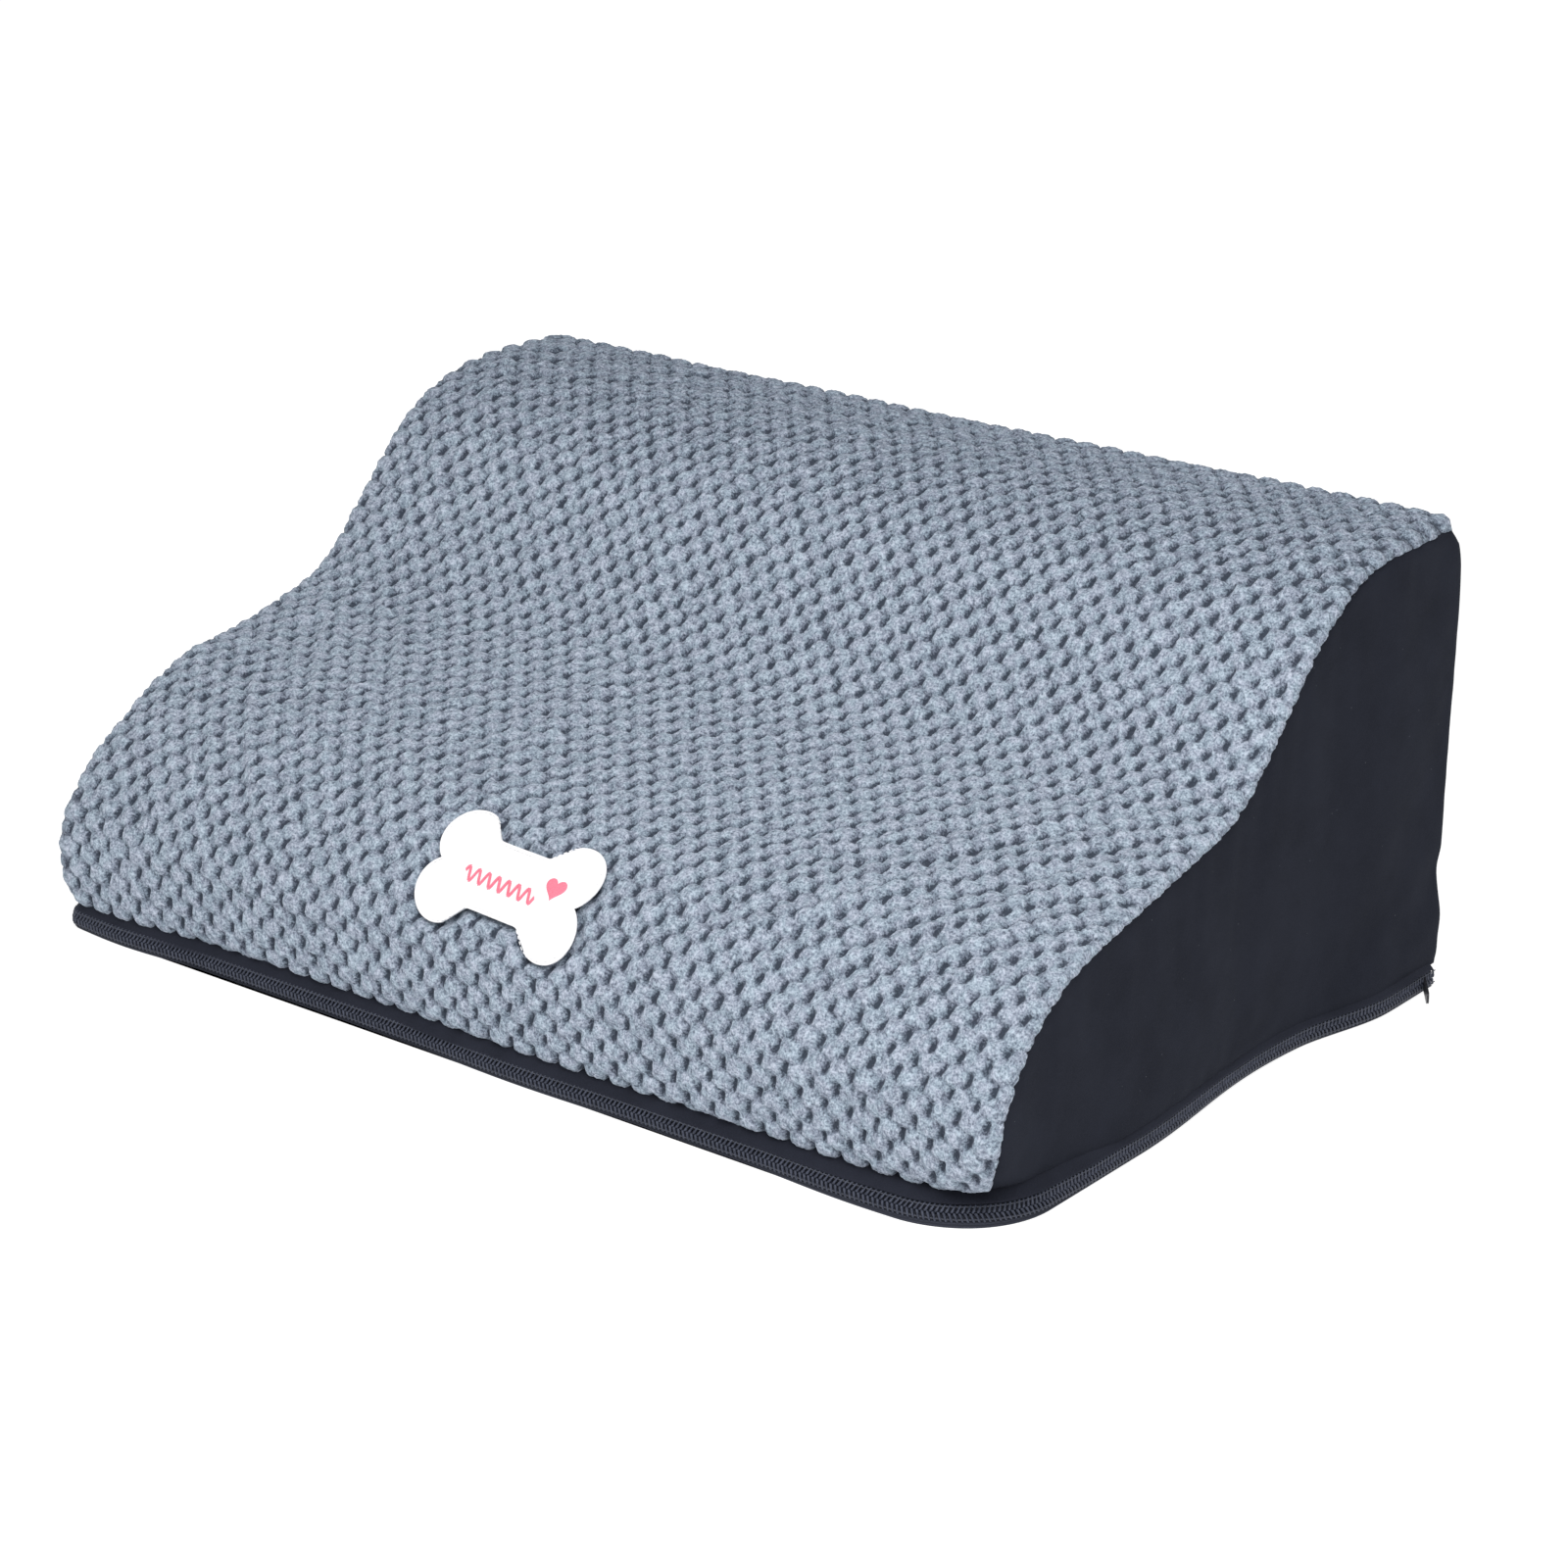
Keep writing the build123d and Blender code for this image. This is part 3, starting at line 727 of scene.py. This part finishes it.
def make_side(side, material):
    name = "side_cloth_right" if side == RIGHT else "side_cloth_left"
    columns, rows = 150, 84
    c = np.linspace(-0.01, 1, columns)
    y = side_surface(side, c, np.full(columns, HEIGHT))[:, 1]
    top = np.maximum(profile_height(y, BUMP + ROLL + 0.2 * MM), HEM_Z + SHARP_RISE)
    r, c = np.meshgrid(np.linspace(0, 1, rows), c, indexing="ij")
    bottom = HEM_Z - 2 * MM
    points = side_surface(side, c, bottom + r * (top[None, :] - bottom))
    tuck = smoothstep((r - 0.985) / 0.015) * 2 * MM
    points[..., 0] -= side * (tuck + smoothstep(1 - r * 30) * 0.8 * MM)
    off = side_puff(side, points)
    points = points + grid_normals(points) * off[..., None]
    obj = grid_object(name, points, flip=side == RIGHT)
    obj.data.materials.append(material)
    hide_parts("side_panel_right" if side == RIGHT else "side_panel_left")
    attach(obj, "ramp")
    return obj


SIDE_SOFTNESS = 0.35  # share of the simulated folds that the thick side cloth shows


def side_puff(side, points):
    """Soft puffs and creases of a side panel pinned at its seams, by cloth simulation."""
    rows, columns = points.shape[:2]
    outwards = np.sign((grid_normals(points)[rows // 2, columns // 2, 0]) * side)
    coarse = points[:: max(1, rows // 28), :: max(1, columns // 50)]
    pinned = np.zeros(coarse.shape[:2], bool)
    pinned[0], pinned[-1], pinned[:, 0], pinned[:, -1] = True, True, True, True
    off = simulate(coarse, pinned, 30, 0.006, pressure=0.6 * outwards, gravity=0.4, cap=3 * MM)
    return SIDE_SOFTNESS * refine(off, rows, columns)


def make_back(material):
    rows, columns = 60, 140
    z, x = np.meshgrid(np.linspace(2.2 * MM, LIP_Z + 2 * MM, rows), np.linspace(-1, 1, columns), indexing="ij")
    half = SIDE_X - 1.2 * MM
    wave = np.where(x > 0, side_wave(RIGHT, BACK, z), side_wave(LEFT, BACK, z)) - crest_pull(BACK, z)
    wave = wave * np.abs(x) ** 6
    pull_room = 2.4 * MM * (1 - smoothstep((z - 10 * MM) / (6 * MM))) * (x > 0.5)
    wave = wave - pull_room * np.abs(x) ** 6
    across = x * half
    edge = smoothstep((np.abs(x) * half - (half - 4 * MM)) / (4 * MM))
    y = BACK - 0.9 * MM - edge * 2.6 * MM
    y = y - 0.9 * MM * soft_noise(across, z, 70 * MM, 11) * (1 - edge) * smoothstep(z / (30 * MM))
    points = np.stack([across + np.sign(x) * wave, y, z], axis=-1)
    obj = grid_object("back_cloth", points, flip=False)
    obj.data.materials.append(material)
    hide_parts("back_panel")
    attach(obj, "ramp")
    return obj


def make_bottom(material):
    """The base fabric, flat on the floor."""
    t_front = np.linspace(0, EDGE_LENGTH / 2, 160)
    left = skirt(t_front, 0.4 * MM, -1.6 * MM)
    right_t = EDGE_LENGTH - t_front * (EDGE_LENGTH / 2) / t_front[-1]
    right = skirt(right_t, 0.4 * MM, -1.6 * MM)
    share = np.linspace(0, 1, 90)[None, :, None]
    flat = left[:, None] * (1 - share) + right[:, None] * share
    flat[..., 2] = 0.35 * MM
    flat[..., 1] = np.minimum(flat[..., 1], SEAM_BACK)
    obj = grid_object("bottom_cloth", flat[:, :, :], flip=True)
    obj.data.materials.append(material)
    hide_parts("bottom_panel")
    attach(obj, "base")
    return obj


def strip(name, section, body, material, step=3 * MM, end=None, ripple=0.0):
    """A strip along the base's edge. section lists (height, stand-out), each a number or a function of t."""
    last = EDGE_LENGTH - (BACK - (end if end is not None else SEAM_BACK))
    t = np.arange(BACK - (end if end is not None else SEAM_BACK), last, step)
    value = lambda v: v(t) if callable(v) else np.full(len(t), v)
    wobble = ripple * soft_noise(t, t * 0, 45 * MM, 21)
    points = np.stack([skirt(t, value(z), value(out) + wobble) for z, out in section], axis=1)
    obj = grid_object(name, points)
    obj.data.materials.append(material)
    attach(obj, body)
    return obj


def fold_z(t):
    """The height of the band's lower fold: lower at the left of the front, higher at the right corner."""
    return np.interp(t, [corner_middle[LEFT], corner_middle[RIGHT]], [7.6 * MM, 9.6 * MM])


def make_band(material):
    at = lambda share: (lambda t: fold_z(t) + share * (HEM_Z + 3 * MM - fold_z(t)))
    section = [
        (HEM_Z + 4 * MM, -4.4 * MM), (at(0.9), -2.4 * MM), (at(0.75), -1.5 * MM), (at(0.5), -0.6 * MM),
        (at(0.3), 0.3 * MM), (at(0.16), 1.1 * MM), (at(0.06), 1.4 * MM), (at(0.0), 1.2 * MM),
        (at(-0.03), 0.7 * MM), (at(0.0), 0.1 * MM), (at(0.1), -0.5 * MM), (at(0.4), -1.6 * MM),
    ]
    obj = strip("band_fold", section, "ramp", material, ripple=0.35 * MM)
    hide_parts("upper_band")
    return obj


def make_tapes(material):
    upper = strip("tape_upper", [(ZIP_Z + 0.15 * MM, -0.9 * MM), (ZIP_Z + 0.2 * MM, -0.35 * MM),
                                 (ZIP_Z + 2 * MM, -0.2 * MM), (ZIP_Z + 5 * MM, -0.5 * MM),
                                 (HEM_Z + 1 * MM, -2.2 * MM)], "ramp", material, end=CHAIN_END)
    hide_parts("zipper_tape_upper")
    lower = strip("tape_lower", [(ZIP_Z - 0.15 * MM, -0.9 * MM), (ZIP_Z - 0.2 * MM, -0.35 * MM),
                                 (ZIP_Z - 2 * MM, -0.2 * MM), (1.6 * MM, -0.1 * MM), (0.5 * MM, -0.1 * MM),
                                 (0.15 * MM, -0.5 * MM), (0.12 * MM, -1.8 * MM)],
                  "base", material, end=CHAIN_END)
    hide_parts("zipper_tape_lower")


COIL_PITCH = 2.6 * MM


def skirt_axes(t):
    """At t on the zipper: the place, and the directions up the cover, along the edge and outwards."""
    place = skirt(t, np.full(len(t), ZIP_Z))
    up = skirt(t, np.full(len(t), ZIP_Z + MM)) - place
    up /= np.linalg.norm(up, axis=1, keepdims=True)
    along = skirt(t + 0.5 * MM, np.full(len(t), ZIP_Z)) - skirt(t - 0.5 * MM, np.full(len(t), ZIP_Z))
    along /= np.linalg.norm(along, axis=1, keepdims=True)
    out = np.cross(up, along)
    out /= np.linalg.norm(out, axis=1, keepdims=True)
    out *= np.sign(-(out[:, :2] * sample_normals(base_edge, t)).sum(axis=1))[:, None]
    return place, up, along, out


def make_coils(material, thread):
    """Each row of the chain as a loop of monofilament per tooth, heads meeting at the middle."""
    slant = 0.42
    profile = [(-0.25, 1.0, 0.0), (-0.05, 1.05, 0.55), (0.35, 1.15, 0.82), (0.95, 1.2, 0.78), (1.9, 1.1, 0.6),
               (2.9, 0.95, 0.58), (3.6, 0.65, 0.58), (4.05, 0.2, 0.5), (4.15, -0.1, 0.0)]
    first = BACK - CHAIN_END
    for row, body, name, node in [(1, "ramp", "coil_upper", "zipper_coil_upper"),
                                  (-1, "base", "coil_lower", "zipper_coil_lower")]:
        t = np.arange(first + COIL_PITCH, EDGE_LENGTH - first - COIL_PITCH, COIL_PITCH)
        t = t + (COIL_PITCH / 2 if row > 0 else 0)
        rings = [(slant * max(y, 0) * MM, y * MM, out * MM, r * MM) for y, out, r in profile]
        template, faces = tube(rings, 8)
        place, up, along, out = skirt_axes(t)
        axes = np.stack([along, row * up, out], axis=1)
        if row > 0:
            faces = [f[::-1] for f in faces]
        obj = repeated(name, template, faces, place, axes)
        obj.data.materials.append(material)
        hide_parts(node)
        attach(obj, body)
        seam = 2.9 * MM
        stitch_line(f"{name}_stitches", place + row * up * seam + along * (slant * seam + COIL_PITCH / 2), up, out,
                    1.9 * MM, 0.3 * MM, thread, body, lift=1.0 * MM)


def make_foam(material):
    """The contour-cut foam block inside: a closed loop of the profile, carried across and capped."""
    loop = rounded(
        [(DEPTH / 2, 1.4 * MM), (9 * MM, 1.4 * MM), (9 * MM, NOSE_CORNER[1] - 4 * MM),
         (WAIST_CORNER[0] + 1 * MM, WAIST_CORNER[1] - 9 * MM), (CREST_CORNER[0] + 5 * MM, HEIGHT - 9 * MM),
         (DEPTH - 3 * MM, HEIGHT - 9 * MM), (DEPTH - 3 * MM, 1.4 * MM), (DEPTH / 2, 1.4 * MM)],
        [0, 4 * MM, NOSE_RADIUS - 8 * MM, WAIST_RADIUS + 8 * MM, CREST_RADIUS - 8 * MM, 4 * MM, 3 * MM, 0],
    ) + (FRONT, 0)
    count = 300
    total = length_along(loop)[-1]
    loop = sample(loop, np.arange(count) * total / count)
    centre = np.array([FRONT + 0.62 * DEPTH, 0.36 * HEIGHT])

    def half_width(side, yz):
        low = 6 * MM * (1 - smoothstep(yz[:, 1] / (24 * MM)))
        inwards = crest_pull(yz[:, 0], yz[:, 1]) - np.minimum(side_wave(side, yz[:, 0], yz[:, 1]), 0)
        return HALF - 8.5 * MM - low - inwards

    sections = []
    caps = (0.0, 0.35, 0.7, 0.9)
    for k in caps:
        yz = centre + (loop - centre) * k
        sections.append(np.stack([-half_width(LEFT, yz), yz[:, 0], yz[:, 1]], axis=1))
    for share in np.sin(np.radians(np.linspace(-86, 86, 84))):
        side = RIGHT if share > 0 else LEFT
        shrink = 1 - 0.012 * smoothstep((abs(share) - 0.96) / 0.035)
        yz = centre + (loop - centre) * shrink
        sections.append(np.stack([share * half_width(side, yz), yz[:, 0], yz[:, 1]], axis=1))
    for k in caps[::-1]:
        yz = centre + (loop - centre) * k
        sections.append(np.stack([half_width(RIGHT, yz), yz[:, 0], yz[:, 1]], axis=1))
    points = np.array(sections)
    for side in (LEFT, RIGHT):
        sharp, radius, half, _ = corner_shape(side, points[..., 2])
        radius, half = radius + 8 * MM * sharp, half - 9 * MM
        over = np.clip((side * points[..., 0] - half + radius) / radius, 0, 1)
        limit = FRONT + 13 * MM - 4 * MM * sharp + radius * (1 - np.sqrt(1 - over**2))
        limit = limit + setback(side, points[..., 0], sharp)
        points[..., 1] = np.where(points[..., 0] * side > 0, np.maximum(points[..., 1], limit), points[..., 1])
    obj = grid_object("foam_block", points, wrap=True)
    obj.data.materials.append(material)
    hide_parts("foam_core")
    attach(obj, "ramp")
    return obj


def make_rear_hinge(material):
    """The sewn fold along the rear bottom edge that the cover opens on."""
    half = HALF - 4 * MM
    x = np.linspace(-half, half, 120)
    section = [(SEAM_BACK - 4 * MM, 0.3 * MM), (SEAM_BACK, 0.3 * MM), (BACK - 0.9 * MM, 0.6 * MM),
               (BACK - 0.3 * MM, 1.4 * MM), (BACK - 0.4 * MM, 2.6 * MM), (BACK - 0.6 * MM, 4 * MM),
               (BACK - 1.4 * MM, 5.2 * MM)]
    points = np.array([[(a, y, z) for y, z in section] for a in x])
    obj = grid_object("rear_hinge_fold", points)
    obj.data.materials.append(material)
    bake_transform(obj)
    return obj


# ---------------------------------------------------------------- materials


class Material:
    """A node material: add nodes by type with their sockets, which may be values or other nodes' outputs."""

    def __init__(self, name):
        self.data = bpy.data.materials.new(name)
        self.data.use_nodes = True
        self.tree = self.data.node_tree
        self.shader = self.tree.nodes["Principled BSDF"]
        self.place = self.node("TexCoord").outputs["Object"]

    def node(self, kind, settings=None, **sockets):
        n = self.tree.nodes.new("ShaderNode" + kind)
        for key, value in (settings or {}).items():
            setattr(n, key, value)
        for key, value in sockets.items():
            self.put(n.inputs[int(key[1:])] if key[0] == "i" and key[1:].isdigit() else n.inputs[key], value)
        return n

    def put(self, socket, value):
        if isinstance(value, bpy.types.NodeSocket):
            self.tree.links.new(value, socket)
        else:
            socket.default_value = value

    def set(self, **sockets):
        for key, value in sockets.items():
            self.put(self.shader.inputs[key.replace("_", " ")], value)

    def noise(self, size, detail=2.0, roughness=0.6, stretch=None):
        place = self.place
        if stretch:
            place = self.node("Mapping", Vector=place, Scale=stretch).outputs[0]
        return self.node("TexNoise", Vector=place, Scale=1 / size, Detail=detail, Roughness=roughness).outputs[0]

    def attribute(self, name):
        return self.node("Attribute", {"attribute_name": name}).outputs["Fac"]

    def math(self, operation, a, b=0.5):
        return self.node("Math", {"operation": operation}, i0=a, i1=b).outputs[0]

    def spread(self, value, low, high, to_low=0.0, to_high=1.0):
        return self.node("MapRange", i0=value, i1=low, i2=high, i3=to_low, i4=to_high).outputs[0]

    def ramp(self, value, stops):
        n = self.node("ValToRGB", Fac=value)
        elements = n.color_ramp.elements
        while len(elements) < len(stops):
            elements.new(0.5)
        for element, (at, colour) in zip(elements, stops):
            element.position, element.color = at, (*colour, 1)
        return n.outputs[0]

    def mix(self, share, a, b, how="MIX"):
        n = self.node("Mix", {"data_type": "RGBA", "blend_type": how})
        for index, value in zip((0, 6, 7), (share, a, b)):
            self.put(n.inputs[index], (*value, 1) if isinstance(value, tuple) and len(value) == 3 else value)
        return n.outputs[2]

    def bump(self, height, distance, strength=1.0, normal=None):
        n = self.node("Bump", Height=height, Distance=distance, Strength=strength)
        if normal is not None:
            self.put(n.inputs["Normal"], normal)
        return n.outputs[0]


def fleece_material():
    m = Material("popcorn_fleece")
    nap, pit, curl, crest_shade = (m.attribute(name) for name in ("nap", "pit", "curl", "crest_shade"))
    curls = m.noise(2.6 * MM, 2, 0.55)
    fuzz = m.noise(1.1 * MM, 2, 0.6)
    # Painted shade: the colour darkens down the sides of the bumps and curls and into the pits, where shade falls; the
    # curls and fuzz noise add the yarn's real mottling.
    depth = m.math("ADD", m.spread(nap, 0.15, 0.9, 0.34, 0.62), m.spread(curl, 0, 0.9, -0.10, 0.14))
    depth = m.math("ADD", depth, m.spread(curls, 0.3, 0.7, -0.24, 0.24))
    depth = m.math("ADD", depth, m.spread(fuzz, 0.3, 0.7, -0.32, 0.32))
    depth = m.math("SUBTRACT", depth, m.spread(pit, 0.1, 0.8, 0, 0.66))
    # Painted shade: the fleece darkens towards the crest.
    depth = m.math("SUBTRACT", depth, m.spread(crest_shade, 0, 1, 0, 0.13))
    colour = m.ramp(depth, [(0.0, (0.045, 0.056, 0.077)), (0.25, (0.125, 0.151, 0.194)),
                            (0.5, (0.230, 0.273, 0.334)), (0.75, (0.345, 0.402, 0.476)),
                            (1.0, (0.490, 0.556, 0.640))])
    tint = m.noise(6 * MM, 2, 0.5)
    colour = m.mix(m.spread(tint, 0.4, 0.6), m.mix(1.0, colour, (0.98, 1.01, 1.01), "MULTIPLY"),
                   m.mix(1.0, colour, (1.03, 0.99, 1.01), "MULTIPLY"))
    normal = m.bump(curls, 1.4 * MM, 1.0)
    normal = m.bump(fuzz, 0.7 * MM, 1.0, normal)
    m.set(Base_Color=colour, Roughness=1.0, Normal=normal, Sheen_Weight=0.1, Sheen_Roughness=0.6)
    m.set(Sheen_Tint=(0.8, 0.88, 1, 1), Specular_IOR_Level=0.1)
    return m.data


def dark_cloth_material(name, colour, sheen=0.03, lint=True):
    m = Material(name)
    weave = m.noise(0.5 * MM, 2, 0.6)
    nap = m.noise(28 * MM, 3, 0.55)
    base = m.mix(m.spread(nap, 0.3, 0.7), tuple(c * 0.82 for c in colour), tuple(c * 1.2 for c in colour))
    base = m.mix(m.spread(weave, 0.3, 0.75, 0, 0.45), base, tuple(min(1, c * 1.9) for c in colour))
    if lint:
        speck = m.node("TexVoronoi", Vector=m.place, Scale=1 / (9 * MM), Randomness=1.0).outputs["Distance"]
        base = m.mix(m.spread(speck, 0.035, 0.02, 0, 0.55), base, (0.16, 0.17, 0.19))
    m.set(Base_Color=base, Roughness=0.92, Normal=m.bump(weave, 0.25 * MM, 0.7), Sheen_Weight=sheen)
    m.set(Sheen_Roughness=0.45, Sheen_Tint=(0.7, 0.78, 1, 1), Specular_IOR_Level=0.05)
    return m.data


def base_cloth_material():
    """Tightly woven base fabric."""
    m = Material("base_cloth")
    weave = m.noise(0.6 * MM, 2, 0.6)
    base = m.mix(m.spread(weave, 0.3, 0.7), (0.014, 0.015, 0.02), (0.03, 0.032, 0.042))
    m.set(Base_Color=base, Roughness=0.85, Normal=m.bump(weave, 0.25 * MM, 0.8), Specular_IOR_Level=0.3)
    return m.data


def tape_material():
    m = Material("zipper_tape_weave")
    ribs = m.node("TexWave", {"bands_direction": "Z"}, Vector=m.place, Scale=1 / (4.2 * MM), Distortion=1.5).outputs[0]
    colour = m.mix(ribs, (0.013, 0.015, 0.024), (0.030, 0.034, 0.050))
    m.set(Base_Color=colour, Roughness=0.8, Normal=m.bump(ribs, 0.2 * MM, 0.8), Specular_IOR_Level=0.3)
    return m.data


def nylon_material():
    m = Material("coil_nylon")
    speckle = m.noise(1.4 * MM, 2, 0.5)
    colour = m.mix(m.spread(speckle, 0.3, 0.7), (0.022, 0.026, 0.042), (0.062, 0.070, 0.100))
    m.set(Base_Color=colour, Roughness=m.spread(speckle, 0.2, 0.8, 0.4, 0.6), Specular_IOR_Level=0.3)
    return m.data


def thread_material(name, dark, light):
    m = Material(name)
    twist = m.noise(0.35 * MM, 2, 0.6)
    m.set(Base_Color=m.mix(m.spread(twist, 0.3, 0.7), dark, light), Roughness=0.7,
          Normal=m.bump(twist, 0.1 * MM, 0.8), Sheen_Weight=0.2)
    return m.data


def label_material():
    m = Material("label_felt")
    felt = m.noise(0.7 * MM, 3, 0.65)
    soft = m.noise(9 * MM, 2, 0.5)
    colour = m.mix(m.spread(felt, 0.25, 0.75), (0.80, 0.795, 0.80), (0.96, 0.955, 0.96))
    colour = m.mix(m.spread(soft, 0.4, 0.7, 0, 0.25), colour, (0.90, 0.86, 0.88))
    m.set(Base_Color=colour, Roughness=0.75, Normal=m.bump(felt, 0.2 * MM, 0.5), Sheen_Weight=0.2)
    return m.data


def foam_material():
    m = Material("foam_cells")
    cells = m.node("TexVoronoi", Vector=m.place, Scale=1 / (1.6 * MM)).outputs["Distance"]
    pores = m.noise(5 * MM, 3, 0.7)
    colour = m.mix(m.spread(cells, 0.1, 0.7), (0.52, 0.46, 0.33), (0.80, 0.75, 0.62))
    colour = m.mix(m.spread(pores, 0.62, 0.72, 0, 0.5), colour, (0.45, 0.39, 0.27))
    normal = m.bump(cells, 0.6 * MM, 0.8)
    m.set(Base_Color=colour, Roughness=0.95, Normal=m.bump(pores, 0.8 * MM, 0.5, normal), Sheen_Weight=0.1)
    return m.data


def slider_material():
    m = Material("painted_zinc")
    wear = m.noise(1.8 * MM, 3, 0.6)
    colour = m.mix(m.spread(wear, 0.55, 0.7), (0.018, 0.018, 0.022), (0.09, 0.09, 0.10))
    m.set(Base_Color=colour, Metallic=m.spread(wear, 0.55, 0.7, 0.2, 0.9), Normal=m.bump(wear, 0.1 * MM, 0.4))
    m.set(Roughness=m.spread(wear, 0.3, 0.8, 0.28, 0.5))
    return m.data


# ---------------------------------------------------------------- light, floor and camera


def make_stage():
    bpy.ops.mesh.primitive_plane_add(size=60, location=(0, 0, -0.02 * MM))
    floor = bpy.context.object
    floor.name = "floor"
    m = Material("floor_paper")
    grain = m.noise(40 * MM, 2, 0.5)
    m.set(Base_Color=m.mix(m.spread(grain, 0.3, 0.7), (0.49, 0.49, 0.49), (0.51, 0.51, 0.51)), Roughness=0.95)
    m.set(Emission_Color=(1, 1, 1, 1), Emission_Strength=0.77)
    floor.data.materials.append(m.data)
    scene = bpy.context.scene
    world = bpy.data.worlds.new("studio")
    world.use_nodes = True
    world.node_tree.nodes["Background"].inputs["Color"].default_value = (1, 1, 1, 1)
    world.node_tree.nodes["Background"].inputs["Strength"].default_value = 0.5
    scene.world = world
    scene.view_settings.view_transform = "Standard"
    for name, place, size, power in [("key", (0.5, -0.8, 1.3), 1.0, 15.5), ("fill", (1.1, -1.0, 1.3), 0.9, 6)]:
        light = bpy.data.lights.new(name, "AREA")
        light.size, light.energy = size, power
        lamp = bpy.data.objects.new(name, light)
        lamp.location = place
        lamp.rotation_euler = (Vector((0, 0, 0.1)) - Vector(place)).to_track_quat("-Z", "Y").to_euler()
        scene.collection.objects.link(lamp)


def make_camera():
    """A long lens from the front right, looking down at the object, with a slight roll."""
    place = Vector((1.1805, -1.4935, 0.7994))
    yaw, pitch, roll = np.radians((37.654, 20.329, 0.768))
    forward = Vector((-np.sin(yaw) * np.cos(pitch), np.cos(yaw) * np.cos(pitch), -np.sin(pitch)))
    level = forward.cross(Vector((0, 0, 1))).normalized()
    upright = level.cross(forward)
    across = np.cos(roll) * level + np.sin(roll) * upright
    up = -np.sin(roll) * level + np.cos(roll) * upright
    camera = bpy.data.objects.new("camera", bpy.data.cameras.new("camera"))
    turned = Matrix((across, up, -forward)).transposed().to_4x4()
    camera.matrix_world = Matrix.Translation(place) @ turned
    camera.data.sensor_width, camera.data.lens = 36, 89.67
    bpy.context.scene.collection.objects.link(camera)
    bpy.context.scene.camera = camera


make_camera()
make_stage()
side_cloth = dark_cloth_material("side_suede", (0.0125, 0.0140, 0.0205))
band_cloth = dark_cloth_material("band_cloth", (0.015, 0.0165, 0.024), sheen=0.12, lint=False)
dark_thread = thread_material("dark_thread", (0.016, 0.018, 0.029), (0.050, 0.056, 0.080))
pink_thread = thread_material("pink_thread", (0.78, 0.12, 0.20), (0.90, 0.25, 0.33))
white_thread = thread_material("white_thread", (0.72, 0.72, 0.73), (0.95, 0.95, 0.95))

foam = make_foam(foam_material())
fleece = make_fleece()
for side in (RIGHT, LEFT):
    make_side(side, side_cloth)
make_back(side_cloth)
make_bottom(base_cloth_material())
make_band(band_cloth)
make_tapes(tape_material())
make_coils(nylon_material(), dark_thread)
make_rear_hinge(band_cloth)
make_label()
make_label_mark(pink_thread)
make_label_edge(white_thread)

metal = slider_material()
for node in ("slider_body", "slider_bridge", "pull_tab"):
    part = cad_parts[node]
    part.data.materials.clear()
    part.data.materials.append(metal)
